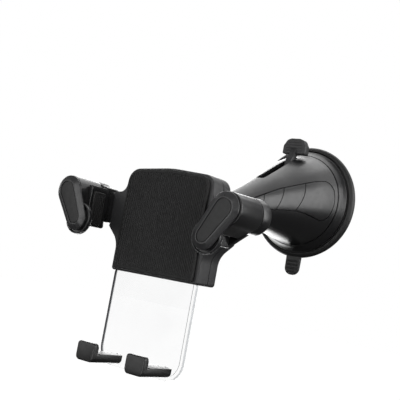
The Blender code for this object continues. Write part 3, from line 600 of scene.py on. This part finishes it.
def side_panel():
    """Leaf-shaped inlay that follows the horn, with three arc grooves."""
    panel = common(cut(horn_skin(0.0, -84.0, -13.0, 46, 112), horn_skin(1.2, -85.0, -12.6, 16, 48)),
                   prism(leaf_outline(GAP), 2.0, 40.0, "X"))
    soften(panel, 0.28, 2, 50)
    arcs = (((-67.8, -13.2), (-66.2, -8.8), (-65.0, -4.0)), ((-57.3, -13.6), (-54.4, -7.0), (-51.1, 1.6)),
            ((-43.6, -12.0), (-39.3, -2.5), (-36.0, 7.8)))
    for low, middle, high in arcs:
        groove = prism(arc_strip(low, middle, high), 3.0, 40.0, "X")
        cut(panel, cut(groove, horn_skin(0.4, -86.0, -12.5, 46, 112)))
    return panel


def ring_screw_spot(index):
    angle = math.radians(-90 + 120 * index)
    return 19.0 * math.cos(angle), 19.0 * math.sin(angle)


def neck_direction():
    lean = math.radians(NECK_TILT)
    return Vector((0, math.cos(lean), math.sin(lean)))


def horn_shell():
    """Hollow horn with a flat tip for the ball stud, three screw posts, leaf pockets and a slot."""
    first, last = HORN_STATIONS[0][0], HORN_STATIONS[-1][0]
    tip = Vector((0, *HORN_STATIONS[0][:2]))
    along = neck_direction()
    shell = horn_skin(0.0, first - 4.0, last, 54, 112)
    cut(shell, rod(tip - along * 14, tip, 14, 24), horn_skin(WALL, first + 6.0, last + 2.0, 20, 56))
    for index in range(3):
        x, z = ring_screw_spot(index)
        post = rod((x, -52.0, z), (x, WEB_FRONT - GAP, z), 3.2, 24)
        join(shell, common(post, horn_skin(1.0, -60.0, last, 8, 48)))
        cut(shell, rod((x, -24.0, z), (x, WEB_FRONT + 2, z), 1.3 + GAP, 20))
    for side in ("left", "right"):
        pocket = cut(horn_skin(-1.0, -84.5, -12.8, 30, 84), horn_skin(1.5, -86.0, -12.5, 16, 48))
        common(pocket, prism(leaf_outline(-0.15), 1.0, 40.0, "X"))
        cut(shell, mirrored(pocket) if side == "left" else pocket)
    half = SLOT_HALF_WIDTH
    slot = prism(rounded([(-half, SLOT_FRONT, 2.0), (-half, SLOT_REAR, 2.0), (half, SLOT_REAR, 2.0),
                          (half, SLOT_FRONT, 2.0)], 6), -2.0, 40.0, "Z")
    cut(shell, slot)
    return cut(shell, rod(tip - along * 4, tip + along * 12, 2.5 + GAP, 24))


def base_ring():
    """Flared ring with a fine seam groove at the horn and a beaded lip over the cup."""
    profile = [
        (ROD_RADIUS + 0.5, WEB_FRONT), (23.9, WEB_FRONT), (23.9, RING_FRONT),
        (27.3, RING_FRONT), (27.5, RING_FRONT + 0.6), (28.3, RING_FRONT + 0.6),
        (28.6, RING_FRONT + 0.1), (29.3, RING_FRONT + 1.5), (30.2, RING_FRONT + 3.0),
        (31.0, RING_FRONT + 4.0), (31.4, RING_FRONT + 4.3), (31.6, RING_FRONT + 4.7),
        (31.4, RING_FRONT + 5.1), (29.4, RING_FRONT + 5.2), (28.6, RING_FRONT + 3.1),
        (24.0, RING_FRONT + 2.5), (22.0, WEB_FRONT + 2.2), (ROD_RADIUS + 0.5, WEB_FRONT + 2.2),
    ]
    ring = turned(eased(profile, 0.25), steps=144)
    for index in range(3):
        x, z = ring_screw_spot(index)
        cut(ring, rod((x, WEB_FRONT - 1, z), (x, WEB_FRONT + 4, z), 1.3 + GAP, 20))
    return ring


def suction_cup():
    """Rubber disc with a rounded rim, a sealing lip behind it and a ribbed tab to peel it by."""
    cup = turned(eased([
        (0, -3.4), (19.5, -3.4), (19.5, -7.9), (28.0, -7.9), (28.3, -6.3), (30.9, -6.3),
        (31.1, -5.2), (32.3, -5.2), (32.5, -6.25), (33.2, -6.05), (34.5, -5.3),
        (CUP_RADIUS, -4.1), (35.1, -3.1), (34.3, -2.5), (34.7, -1.9), (34.4, -1.6), (0, -1.6),
    ], 0.35), steps=144)
    tab = prism(rounded([(-5.2, -31.0, 0), (5.2, -31.0, 0), (4.9, -46.2, 4.5), (-4.9, -46.2, 4.5)], 10),
                -5.1, -3.1)
    join(cup, soften(tab, 0.45, 3))
    for z in (-37.6, -39.8, -42.0, -44.2):
        half = 3.6 if z > -43 else 2.6
        join(cup, rod((-half, -5.0, z), (half, -5.0, z), 0.55, 12))
    return cup


def gel_pad():
    """Tacky disc with a rounded edge and a shallow moat near its rim."""
    return turned([(0, -1.3), (33.0, -1.3), (33.1, -0.9), (32.9, -0.45), (32.4, -0.12), (31.8, 0.0),
                   (30.4, 0.0), (30.1, -0.18), (29.7, -0.18), (29.4, 0.0), (0, 0.0)], steps=144)


def cam_outline(steps=14):
    swing = math.radians(LEVER_SWING)
    slope = CAM_LIFT / swing
    face = []
    for step in range(steps + 1):
        angle = swing * step / steps
        reach = CAM_HIGH - slope * angle
        face.append((reach * math.cos(angle) + slope * math.sin(angle),
                     slope * math.cos(angle) - reach * math.sin(angle)))
    low = math.degrees(math.atan2(face[-1][1], face[-1][0]))
    under = [(5.4 * math.cos(math.radians(a)), 5.4 * math.sin(math.radians(a)))
             for a in range(int(low) - 12, -181, -8)]
    block = [(-5.4, 13.2), (0.6, 13.2), (3.2, 7.5), (CAM_HIGH, 5.0)]
    return [(PIVOT[0] + y, PIVOT[1] + z) for y, z in face + under + block]


def lever():
    """Twin cams, a curved stem with a web down its middle, and a ridged thumb head."""
    y, z = PIVOT
    cams = prism(cam_outline(), -5.6, 5.6, "X")
    cut(cams, box((-2.0, y - 12, z - 12), (2.0, y + 12, z + 7.4)))
    stem = soften(prism(rounded([
        (y - 4.6, z + 9.0, 0), (y + 0.0, z + 9.0, 0), (y - 1.4, z + 20.0, 14), (y + 2.6, z + 27.5, 3),
        (y + 3.6, z + 32.0, 0), (y - 0.2, z + 31.0, 0), (y - 1.8, z + 27.0, 3), (y - 6.4, z + 19.6, 12),
    ], 8), -2.1, 2.1, "X"), 0.45, 3)
    thumb = prism(rounded([(-8.0, 26.3, 1.0), (8.0, 26.3, 1.0), (7.9, 31.4, 2.0), (5.6, 35.2, 3.0),
                           (3.0, 36.1, 3.0), (-3.0, 36.1, 3.0), (-5.6, 35.2, 3.0), (-7.9, 31.4, 2.0)], 8),
                  y - 0.6, y + 4.6)
    soften(thumb, 0.7, 4)
    made = join(cams, stem, thumb)
    for rise, half in ((28.6, 5.6), (30.3, 5.6), (32.0, 5.2), (33.7, 4.2)):
        join(made, soften(box((-half, y - 1.0, rise - 0.32), (half, y + 0.5, rise + 0.32)), 0.2, 2))
    return cut(made, rod((-9, y, z), (9, y, z), PIN_RADIUS + GAP, 32))


def ball_stud():
    """Ball, neck, flange and the threaded end that goes through the horn's tip."""
    length = (Vector((0, HORN_STATIONS[0][0], HORN_STATIONS[0][1])) - BALL).length
    start = math.asin(NECK_RADIUS / BALL_RADIUS)
    arc = [(BALL_RADIUS * math.sin(a), -BALL_RADIUS * math.cos(a))
           for a in (math.pi * k / 40 for k in range(1, 40)) if a < math.pi - start - 0.02]
    face = length - GAP
    profile = [(0, -BALL_RADIUS), *arc, (NECK_RADIUS, BALL_RADIUS * math.cos(start) + 0.3),
               (NECK_RADIUS, face - 4.2), (3.8, face - 3.2), (5.2, face - 2.2), (6.4, face - 1.7),
               (6.6, face - 1.4), (6.6, face), (2.5, face), (2.5, face + 13.5), (0, face + 13.5)]
    return turned(profile, BALL, neck_direction(), 72)


# ---- ball joint and holder head ----------------------------------------------------------------

def shell_zone(inner, outer, first, last, steps=24):
    angles = [math.radians(first + (last - first) * k / steps) for k in range(steps + 1)]
    outside = [(outer * math.sin(a), outer * math.cos(a)) for a in angles]
    return outside + [(inner * math.sin(a), inner * math.cos(a)) for a in reversed(angles)]


def lock_nut():
    """Ring nut with rounded finger grooves."""
    nut = turned(eased([
        (NUT_INNER, -4.5), (NUT_OUTER, -4.5), (NUT_OUTER, 6.2), (NUT_OUTER - 1.6, 7.6), (10.9, 7.6),
        (10.4, 5.5), (NUT_INNER, 5.5)], 0.5, 4), BALL, steps=120)
    for index in range(18):
        angle = math.tau * (index + 0.17) / 18
        across = Vector((math.cos(angle), 0, math.sin(angle))) * (NUT_OUTER + 0.75)
        start = BALL + across + Vector((0, -6.0, 0))
        cut(nut, rod(start, start + Vector((0, 15.0, 0)), 1.35, 20))
    return nut


def body_corners(inset=0.0, mouth=MOUTH_X):
    i = inset
    return [
        (0.0, 13.4 - i, 60), (27.6 - i, 11.4 - i, 7.0 - i * 0.5), (28.6 - i, -1.3 - i, 4.5),
        (mouth, -1.3 - i, 0), (mouth, -20.2 + i, 0), (BODY_HALF_WIDTH - i, -27.2 + i * 0.4, 10),
        (BODY_HALF_WIDTH - i, BODY_BOTTOM + i, 1.5),
    ]


def both_sides(right_half):
    return right_half + [(-x, z, r) for x, z, r in reversed(right_half) if x]


def body_slab(inset, front, back, mouth=MOUTH_X):
    return prism(head_outline(both_sides(body_corners(inset, mouth)), 9), depth(front), depth(back))


def full_slab(front, back):
    """Cutter that takes everything between two depths."""
    return box((-60, depth(front), height(-60)), (60, depth(back), height(30)))


def front_cover():
    """Front shell, open behind, with a mouth for each arm and a slot for the clear plate."""
    cover = soften(body_slab(0.0, BODY_FACE, COVER_SPLIT + 4), 0.9, 4, 60)
    cut(cover, full_slab(COVER_SPLIT - 0.1, COVER_SPLIT + 6))
    cut(cover, body_slab(1.1, BODY_INSIDE, COVER_SPLIT + 1, BODY_HALF_WIDTH + 0.5))
    for side in (1, -1):
        window = box((24.0, depth(BODY_INSIDE), height(-18.8)),
                     (MOUTH_X + 3, depth(COVER_SPLIT + 1), height(-1.9)))
        cut(cover, window if side > 0 else mirrored(window))
    return cut(cover, box((-PLATE_HALF_WIDTH - GAP, depth(BODY_INSIDE + 0.05), height(BODY_BOTTOM - 3)),
                          (PLATE_HALF_WIDTH + GAP, depth(PLATE_BACK + GAP), height(BODY_BOTTOM + 4))))


def front_pad():
    """Rubber pad with slanting ribs inside a plain border, left standing by a toothed cut."""
    lean = math.radians(RIB_LEAN)
    across = Vector((math.cos(lean), math.sin(lean)))
    along = Vector((math.sin(lean), -math.cos(lean)))
    count = int(84 / RIB_PITCH)
    line = []
    for index in range(-count // 2, count // 2):
        for share, rise in ((0.0, 0.0), (0.18, 0.26), (0.32, 0.34), (0.56, 0.34), (0.70, 0.26),
                            (0.88, 0.0)):
            line.append(((index + share) * RIB_PITCH, rise))
    front = PAD_FACE - 1
    profile = [(a, PAD_FACE + 0.42 - rise) for a, rise in line]
    profile += [(line[-1][0], front), (line[0][0], front)]
    middle = Vector((0.0, height(-14.0)))
    rings = []
    for reach in (-60.0, 60.0):
        ring = []
        for a, y in profile:
            spot = middle + across * a + along * reach
            ring.append((spot.x, depth(y), spot.y))
        rings.append(ring)
    comb = loft(rings)
    inner = head_outline(both_sides([(0.0, 10.9, 60), (24.9, 9.3, 5.0), (24.9, -39.6, 1.0)]), 9)
    common(comb, prism(inner, depth(PAD_FACE - 2), depth(PAD_BACK + 1)))
    outer = head_outline(both_sides([(0.0, 12.3, 60), (26.1, 10.6, 6.0), (26.1, -40.9, 1.2)]), 9)
    return cut(soften(prism(outer, depth(PAD_FACE + 0.05), depth(PAD_BACK)), 0.45, 3, 60), comb)


def rear_cover():
    """Back shell with a flared collar round the socket, screw wells and two spring posts."""
    cover = soften(body_slab(0.0, COVER_SPLIT - 6, REAR_FACE), 2.2, 5, 60)
    cut(cover, full_slab(COVER_SPLIT - 8, COVER_SPLIT + GAP))
    cut(cover, body_slab(1.8, COVER_SPLIT - 2, REAR_INSIDE, BODY_HALF_WIDTH + 2))
    start = depth(REAR_FACE - 0.8) - BALL.y
    flare = [(0, start), (SOCKET_OUTER + 2.6, start), (SOCKET_OUTER + 1.0, start + 1.3),
             (SOCKET_OUTER + 0.2, start + 2.6), (SOCKET_OUTER, start + 4.0), (SOCKET_OUTER, 4.7),
             (SOCKET_OUTER - 0.3, 5.0), (0, 5.0)]
    join(cover, turned(flare, BALL, steps=84))
    for x, z in SCREW_SPOTS:
        boss = peg(x, z, COVER_SPLIT + GAP, REAR_INSIDE + 0.6, 2.3, 24)
        bore = peg(x, z, COVER_SPLIT - 1, REAR_FACE + 1, 1.1 + GAP, 20)
        sink = peg(x, z, REAR_FACE - 1.6, REAR_FACE + 1, 2.2 + GAP, 32)
        cut(join(cover, boss), bore, sink)
    sphere = [(SOCKET_INNER * math.sin(a), -SOCKET_INNER * math.cos(a))
              for a in (math.radians(6.0 * k) for k in range(1, 19))]
    cut(cover, turned([(0, -SOCKET_INNER), *sphere, (9.9, 4.6), (12.0, 6.2), (0, 6.2)], BALL, steps=72))
    for x in (-SPRING_X, SPRING_X):
        join(cover, rod((x, depth(SPRING_DEPTH), height(BODY_BOTTOM + 1.2)),
                        (x, depth(SPRING_DEPTH), height(-35.5)), 1.2, 16))
    return cover


def cross_screw(spot, head_radius, head_height, shank, length):
    """Pan-head screw with a cross recess, its head towards +Y."""
    x, y, z = spot
    profile = [(0, -length), (shank * 0.6, -length), (shank, -length + 0.6), (shank, 0), (head_radius, 0),
               (head_radius, head_height * 0.55), (head_radius * 0.86, head_height * 0.85),
               (head_radius * 0.6, head_height), (0, head_height)]
    screw = turned(profile, spot, steps=32)
    reach, slit = head_radius * 0.62, head_radius * 0.13
    for wide, tall in ((reach, slit), (slit, reach)):
        cut(screw, box((x - wide, y + head_height - 0.6, z - tall),
                       (x + wide, y + head_height + 1, z + tall)))
    return screw


def foot_plate():
    """Clear plate with eased edges and a shallow step inside its border."""
    shoulder = BODY_BOTTOM + 0.6
    half = [(0.0, PLATE_BOTTOM, 90), (-PLATE_HALF_WIDTH, PLATE_BOTTOM + 0.6, 10),
            (-PLATE_HALF_WIDTH, shoulder, 1.5), (-20.6, shoulder, 1.0), (-20.6, -24.0, 2.0)]
    right = [(-x, z, r) for x, z, r in reversed(half) if x]
    plate = soften(prism(head_outline(half + right, 10), depth(PLATE_FRONT), depth(PLATE_BACK)), 0.3, 3, 60)
    inner = [(0.0, PLATE_BOTTOM + 1.7, 90), (-25.2, PLATE_BOTTOM + 2.3, 8.6), (-25.2, shoulder + 1, 0)]
    outline = inner + [(-x, z, r) for x, z, r in reversed(inner) if x]
    cut(plate, prism(head_outline(outline, 10), depth(PLATE_FRONT - 1), depth(PLATE_FRONT + 0.3)))
    for x, z, radius in ((HOOK_MIDDLE, SCREW_Z, 1.1), (-HOOK_MIDDLE, SCREW_Z, 1.1),
                         (PEG_X, PEG_Z, 1.4), (-PEG_X, PEG_Z, 1.4)):
        cut(plate, peg(x, z, PLATE_FRONT - 1, PLATE_BACK + 1, radius + GAP, 24))
    return plate


def foot_hook():
    """Low bar under the phone and an upright lip, with a relief where the two meet."""
    front_view = raised(rounded([(HOOK_IN, -78.6, 1.7), (HOOK_OUT, -78.6, 1.7),
                                 (HOOK_OUT, -88.0, 2.4), (HOOK_IN, -88.0, 2.4)], 8))
    hook = soften(prism(front_view, depth(-9.6), depth(PLATE_FRONT - GAP)), 0.8, 3, 60)
    phone_space = prism([(depth(y), height(z)) for y, z in (
        (-6.6, -76.0), (-6.6, -83.9), (-4.7, -83.9), (-4.7, -83.5), (16.0, -83.5), (16.0, -76.0))],
        HOOK_IN - 1, HOOK_OUT + 1, "X")
    soften(cut(hook, phone_space), 0.2, 2, 50)
    return cut(hook, peg(HOOK_MIDDLE, SCREW_Z, 7.0, PLATE_FRONT + 1, 0.9 + GAP, 20))


def foot_pad():
    """Rubber liner with three soft bars that touch the glass."""
    pad = soften(prism(raised(rounded([(HOOK_IN + 0.8, -79.9, 0.8), (HOOK_OUT - 0.8, -79.9, 0.8),
                                       (HOOK_OUT - 0.8, -83.2, 0.3), (HOOK_IN + 0.8, -83.2, 0.3)], 5)),
                       depth(-6.3), depth(-5.45)), 0.2, 2)
    for z in (-80.7, -81.6, -82.5):
        join(pad, rod((HOOK_IN + 1.3, depth(-5.5), height(z)), (HOOK_OUT - 1.3, depth(-5.5), height(z)),
                      0.27, 12))
    return pad


def return_spring(x):
    return coil((x, depth(SPRING_DEPTH), height(SPRING_LOW)), (0, 0, 1), 2.0, 0.35,
                SPRING_HIGH - SPRING_LOW, 4.5)


# ---- arms --------------------------------------------------------------------------------------

def boot_turned(profile, steps=96):
    lean = math.radians(PADDLE_TILT)
    x = PADDLE_X - PADDLE_HALF_LENGTH * math.sin(lean)
    z = PADDLE_Z - PADDLE_HALF_LENGTH * math.cos(lean)
    return turned(profile, (x, GLASS_Y, height(z)), steps=steps)


def arm():
    """Drum, gusset, grip wall and beam, each with rounded edges before they are joined."""
    drum = drum_turned(eased([(0, DRUM_FRONT), (DRUM_RADIUS - 0.2, DRUM_FRONT),
                              (DRUM_RADIUS, DRUM_FRONT + 0.5), (DRUM_RADIUS + 0.3, DRUM_BACK),
                              (0, DRUM_BACK)], 0.3), 144)
    gusset_outline = raised(hull([(DRUM_X, DRUM_Z, DRUM_RADIUS - 0.03), (47.9, -16.45, 0.9),
                                  (43.0, -13.0, 1.0)]))
    gusset = soften(prism(gusset_outline, depth(DRUM_FRONT + 0.4), depth(9.9)), 0.3, 2, 60)
    web_outline = raised(hull([(DRUM_X, DRUM_Z, DRUM_RADIUS - 0.1), (41.9, -20.9, 1.3)]))
    web = soften(prism(web_outline, depth(9.4), depth(12.2)), 0.5, 4, 60)
    knuckle = soften(prism(raised([(WALL_X + 0.1, -0.2), (46.0, 1.2), (46.0, -14.0), (WALL_X + 1.4, -18.0),
                                   (WALL_X + 0.1, -18.0)]), depth(9.3), depth(TONGUE_BACK)), 0.6, 3, 40)
    wall = soften(box((WALL_X, depth(-1.2), height(-22.3)), (WALL_X + 2.6, depth(11.0), height(-1.0))),
                  0.35, 3)
    for piece, clearance, start in ((web, 9.1, 9.95), (knuckle, 9.2, 9.8), (wall, 9.3, 9.65)):
        cut(piece, drum_turned([(0, start), (clearance, start), (clearance, 30), (0, 30)], 72))
    beam = soften(box((26.4, depth(BODY_INSIDE + GAP), height(-18.5)),
                      (WALL_X + 1.2, depth(TONGUE_BACK - 0.05), height(-2.2))), 0.5, 3)
    tongue = box((6.2, depth(TONGUE_FRONT), height(-17.4)), (29.4, depth(TONGUE_BACK - 0.1), height(-4.3)))
    made = join(drum, gusset, web, wall, knuckle, beam, tongue)
    cut(made, box((WALL_X - 1, depth(-0.4), height(-21.4)), (WALL_X + 0.5, depth(8.6), height(-3.6))))
    scoop, floor = BOOT_RADIUS + GAP, BOOT_BACK + GAP
    cut(made, boot_turned([(0, -10.0), (scoop, -10.0), (scoop, floor), (0, floor)], 72))
    return cut(made, peg(PIN_X, PIN_Z, TONGUE_FRONT - 1, TONGUE_BACK + 1, SLIDE_PIN_RADIUS + GAP, 28))


def arm_cap():
    """Domed cap behind the drum."""
    return drum_turned([(0, 10.7), (8.05, 10.7), (8.3, 10.8), (8.4, 11.05), (8.73, 15.9), (8.7, 16.6),
                        (8.45, 17.2), (7.95, 17.7), (7.1, 18.1), (6.1, 18.4), (4.4, 18.6), (0, 18.65)], 144)


def grip_pad():
    """Crowned rubber pad with upright grooves."""
    pad = soften(box((PHONE_HALF_WIDTH + GAP, depth(-0.1), height(-21.1)),
                     (WALL_X + 0.2, depth(8.3), height(-3.9))), 0.6, 4)
    for index in range(6):
        y = depth(0.9 + index * 1.3)
        cut(pad, rod((PHONE_HALF_WIDTH + GAP - 0.12, y, height(-19.9)),
                     (PHONE_HALF_WIDTH + GAP - 0.12, y, height(-5.1)), 0.34, 12))
    return pad


def paddle_rim():
    """Round rubber boot with a raised lip round a groove and a finely toothed back edge."""
    boot = boot_turned(eased([(0, -7.3), (5.9, -7.3), (6.1, -5.7), (7.4, -5.7), (7.55, -7.0), (8.0, -7.02),
                              (BOOT_RADIUS, -6.5), (BOOT_RADIUS, -5.8), (BOOT_RADIUS - 0.25, -5.6),
                              (BOOT_RADIUS - 0.25, BOOT_BACK), (0, BOOT_BACK)], 0.18))
    lean = math.radians(PADDLE_TILT)
    x = PADDLE_X - PADDLE_HALF_LENGTH * math.sin(lean)
    z = height(PADDLE_Z - PADDLE_HALF_LENGTH * math.cos(lean))
    teeth, count = [], 72
    for index in range(count * 4):
        angle = math.tau * index / (count * 4)
        radius = BOOT_RADIUS if index % 4 < 2 else BOOT_RADIUS - 0.35
        teeth.append((x + radius * math.cos(angle), z + radius * math.sin(angle)))
    return join(boot, prism(teeth, depth(-5.62), depth(BOOT_BACK + 0.05)))


def paddle_ring(upper, at):
    outline = tapered_slot(PADDLE_X, PADDLE_Z, PADDLE_HALF_LENGTH, upper, upper - PADDLE_TAPER, PADDLE_TILT)
    return [(x, depth(at), z) for x, z in raised(outline)]


def paddle_plate():
    """Plate with a soft edge, a sloping border and a pocket for the inlay."""
    return loft([paddle_ring(r, at) for r, at in (
        (7.55, -7.6), (7.7, -7.7), (7.78, -7.95), (7.8, -8.2), (7.74, -8.38), (7.6, -8.5), (5.5, -9.62),
        (5.3, -9.76), (5.1, -9.85), (4.9, -9.88), (4.76, -9.84), (4.7, -9.74), (4.68, -9.3))])


def paddle_inlay():
    return loft([paddle_ring(r, at) for r, at in (
        (4.38, -9.1), (4.4, -9.4), (4.37, -9.58), (4.24, -9.7), (4.0, -9.75))])


# ---- assembly ----------------------------------------------------------------------------------

def build_base():
    place_piece(suction_cup(), "cup_rubber", "rubber", "base", "suction_cup", finish="cup")
    place_piece(gel_pad(), "gel_disc", "gel", "base", "gel_pad")
    place_piece(base_ring(), "ring_moulding", "shell", "base", "base_ring")
    place_piece(horn_shell(), "horn_moulding", "shell", "base", "horn_shell")
    for side in ("left", "right"):
        panel = side_panel()
        place_piece(mirrored(panel) if side == "left" else panel, "leaf_panel_" + side, "shell", "base",
                    "side_panel_" + side)
    for index in range(3):
        x, z = ring_screw_spot(index)
        screw = cross_screw((x, WEB_FRONT + 2.2 + GAP, z), 2.5, 1.5, 1.3, 10.5)
        place_piece(screw, f"ring_screw_fine_{index + 1}", "steel", "base", f"ring_screw_{index + 1}")
    place_piece(coil((0, WEB_FRONT + 2.4, 0), (0, 1, 0), 6.5, 0.5, 2.4, 2.0), "cup_spring_fine", "steel",
                "base", "cup_spring")
    place_piece(ball_stud(), "ball_and_neck", "matte", "base", "ball_stud")
    place_piece(lever(), "cam_lever", "matte", "lever", "lever")


def build_head():
    place_piece(turned(shell_zone(8.8, 9.5, 66, 150), BALL, steps=72), "liner_shell", "nylon",
                "pan_shell", "ball_liner")
    place_piece(turned(shell_zone(9.8, 10.6, 67, 152), BALL, steps=72), "collet_shell", "grey",
                "tilt_shell", "ball_collet")
    place_piece(lock_nut(), "ribbed_nut", "matte", "nut", "lock_nut")
    place_piece(rear_cover(), "back_moulding", "matte", "head", "rear_cover")
    place_piece(front_cover(), "front_moulding", "matte", "head", "front_cover")
    place_piece(front_pad(), "ribbed_pad", "rubber", "head", "front_pad")
    for index, (x, z) in enumerate(SCREW_SPOTS):
        screw = cross_screw((x, depth(REAR_FACE - 1.6 + GAP), height(z)), 2.15, 1.25, 1.1, 8.4)
        place_piece(screw, f"cover_screw_fine_{index + 1}", "steel", "head", f"cover_screw_{index + 1}")
    for side, x in (("left", -SPRING_X), ("right", SPRING_X)):
        low, high = (Vector((x, depth(SPRING_DEPTH), height(z))) * MM
                     for z in (SPRING_LOW + 0.9, SPRING_HIGH - 0.9))
        place_piece(return_spring(x), "spring_fine_" + side, "steel", "head", "return_spring_" + side,
                    stretch=("foot", low, high))


def build_foot():
    place_piece(foot_plate(), "clear_plate", "clear", "foot", "foot_plate")
    for side in ("left", "right"):
        flip = mirrored if side == "left" else lambda shape: shape
        place_piece(flip(foot_hook()), "hook_" + side, "matte", "foot", "foot_hook_" + side,
                    finish="hook")
        place_piece(flip(foot_pad()), "hook_liner_" + side, "rubber", "foot", "foot_pad_" + side)
        screw = cross_screw((HOOK_MIDDLE, depth(PLATE_BACK + GAP), height(SCREW_Z)), 2.1, 1.1, 0.9, 7.0)
        place_piece(flip(screw), "hook_screw_fine_" + side, "steel", "foot", "hook_screw_" + side)


def build_arms():
    pieces = (
        (arm, "arm_moulding", "shell", "arm", None),
        (arm_cap, "drum_cap", "shell", "arm_cap", None),
        (grip_pad, "grip_rubber", "rubber", "grip_pad", None),
        (paddle_rim, "rim_rubber", "rubber", "paddle_rim", "boot"),
        (paddle_plate, "paddle_face", "grey", "paddle_plate", None),
        (paddle_inlay, "paddle_inset", "matte", "paddle_inlay", "inset"),
    )
    for side in ("left", "right"):
        for build, name, slot, replaced, finish in pieces:
            shape = build()
            place_piece(mirrored(shape) if side == "left" else shape, f"{name}_{side}", slot,
                        "arm_" + side, f"{replaced}_{side}", finish=finish)


def dress_cad_nodes():
    """Procedural materials for the CAD nodes that stay as they are."""
    slots = {part["node"]: part["material_slot"] for part in frame["record"]["subparts"]}
    for name, obj in frame["nodes"].items():
        if obj.hide_render:
            continue
        obj.data.materials.clear()
        obj.data.materials.append(MATERIALS[slots[name]])


# ---- stage -------------------------------------------------------------------------------------

def plain_material(name, colour, glow):
    made = bpy.data.materials.new(name)
    made.use_nodes = True
    shader = made.node_tree.nodes["Principled BSDF"]
    shader.inputs["Base Color"].default_value = (*colour, 1)
    shader.inputs["Roughness"].default_value = 0.9
    shader.inputs["Emission Color"].default_value = (1, 1, 1, 1)
    shader.inputs["Emission Strength"].default_value = glow
    return made


def add_floor():
    build = bmesh.new()
    spots = ((-1, -1), (1, -1), (1, 1), (-1, 1))
    build.faces.new([build.verts.new((FLOOR_REACH * x, FLOOR_REACH * y, FLOOR_Z)) for x, y in spots])
    mesh = bpy.data.meshes.new("floor")
    build.to_mesh(mesh)
    build.free()
    floor = bpy.data.objects.new("floor", mesh)
    bpy.context.scene.collection.objects.link(floor)
    mesh.materials.append(plain_material("pale_floor", (0.03, 0.03, 0.03), 1.0))
    floor.visible_glossy = False
    floor.visible_diffuse = False


def add_softbox(name, direction, distance, width, tall, radiance):
    """Rectangular light that faces the object, given by how bright it looks."""
    data = bpy.data.lights.new(name, "AREA")
    data.shape = "RECTANGLE"
    data.size = width
    data.size_y = tall
    data.energy = radiance * math.pi * width * tall
    obj = bpy.data.objects.new(name, data)
    bpy.context.scene.collection.objects.link(obj)
    obj.location = AIM + Vector(direction).normalized() * distance
    obj.rotation_euler = (AIM - obj.location).to_track_quat("-Z", "Y").to_euler()


def add_world():
    """White backdrop for the camera; for everything else a dim room that is darker below."""
    world = bpy.data.worlds.new("studio")
    world.use_nodes = True
    tree = world.node_tree
    tree.nodes.clear()
    out = node(tree, "ShaderNodeOutputWorld")
    path = node(tree, "ShaderNodeLightPath")
    blend = node(tree, "ShaderNodeMixShader")
    room = node(tree, "ShaderNodeBackground")
    room.inputs["Color"].default_value = (1, 1, 1, 1)
    parts = node(tree, "ShaderNodeSeparateXYZ")
    tree.links.new(node(tree, "ShaderNodeTexCoord").outputs["Generated"], parts.inputs["Vector"])
    tree.links.new(remap(tree, parts.outputs["Z"], -0.55, 0.35, ROOM_BELOW, ROOM_ABOVE),
                   room.inputs["Strength"])
    backdrop = node(tree, "ShaderNodeBackground")
    backdrop.inputs["Color"].default_value = (1, 1, 1, 1)
    backdrop.inputs["Strength"].default_value = 1.0
    seen = combine_values(tree, "MAXIMUM", path.outputs["Is Camera Ray"],
                          path.outputs["Is Transmission Ray"])
    tree.links.new(seen, blend.inputs["Fac"])
    tree.links.new(room.outputs["Background"], blend.inputs[1])
    tree.links.new(backdrop.outputs["Background"], blend.inputs[2])
    tree.links.new(blend.outputs["Shader"], out.inputs["Surface"])
    bpy.context.scene.world = world


def add_camera():
    data = bpy.data.cameras.new("camera")
    data.lens = CAMERA_LENS
    data.sensor_width = 36.0
    data.clip_start = 0.01
    camera = bpy.data.objects.new("camera", data)
    bpy.context.scene.collection.objects.link(camera)
    axes = Matrix((CAMERA_RIGHT, CAMERA_BACK.cross(CAMERA_RIGHT), CAMERA_BACK))
    camera.matrix_world = Matrix.Translation(CAMERA_PLACE) @ axes.transposed().to_4x4()
    bpy.context.scene.camera = camera


def main():
    build_base()
    build_head()
    build_foot()
    build_arms()
    dress_cad_nodes()
    add_floor()
    for name, direction, distance, width, tall, radiance in SOFTBOXES:
        add_softbox(name, direction, distance, width, tall, radiance)
    add_world()
    add_camera()
    bpy.context.scene.view_settings.view_transform = "Standard"


main()
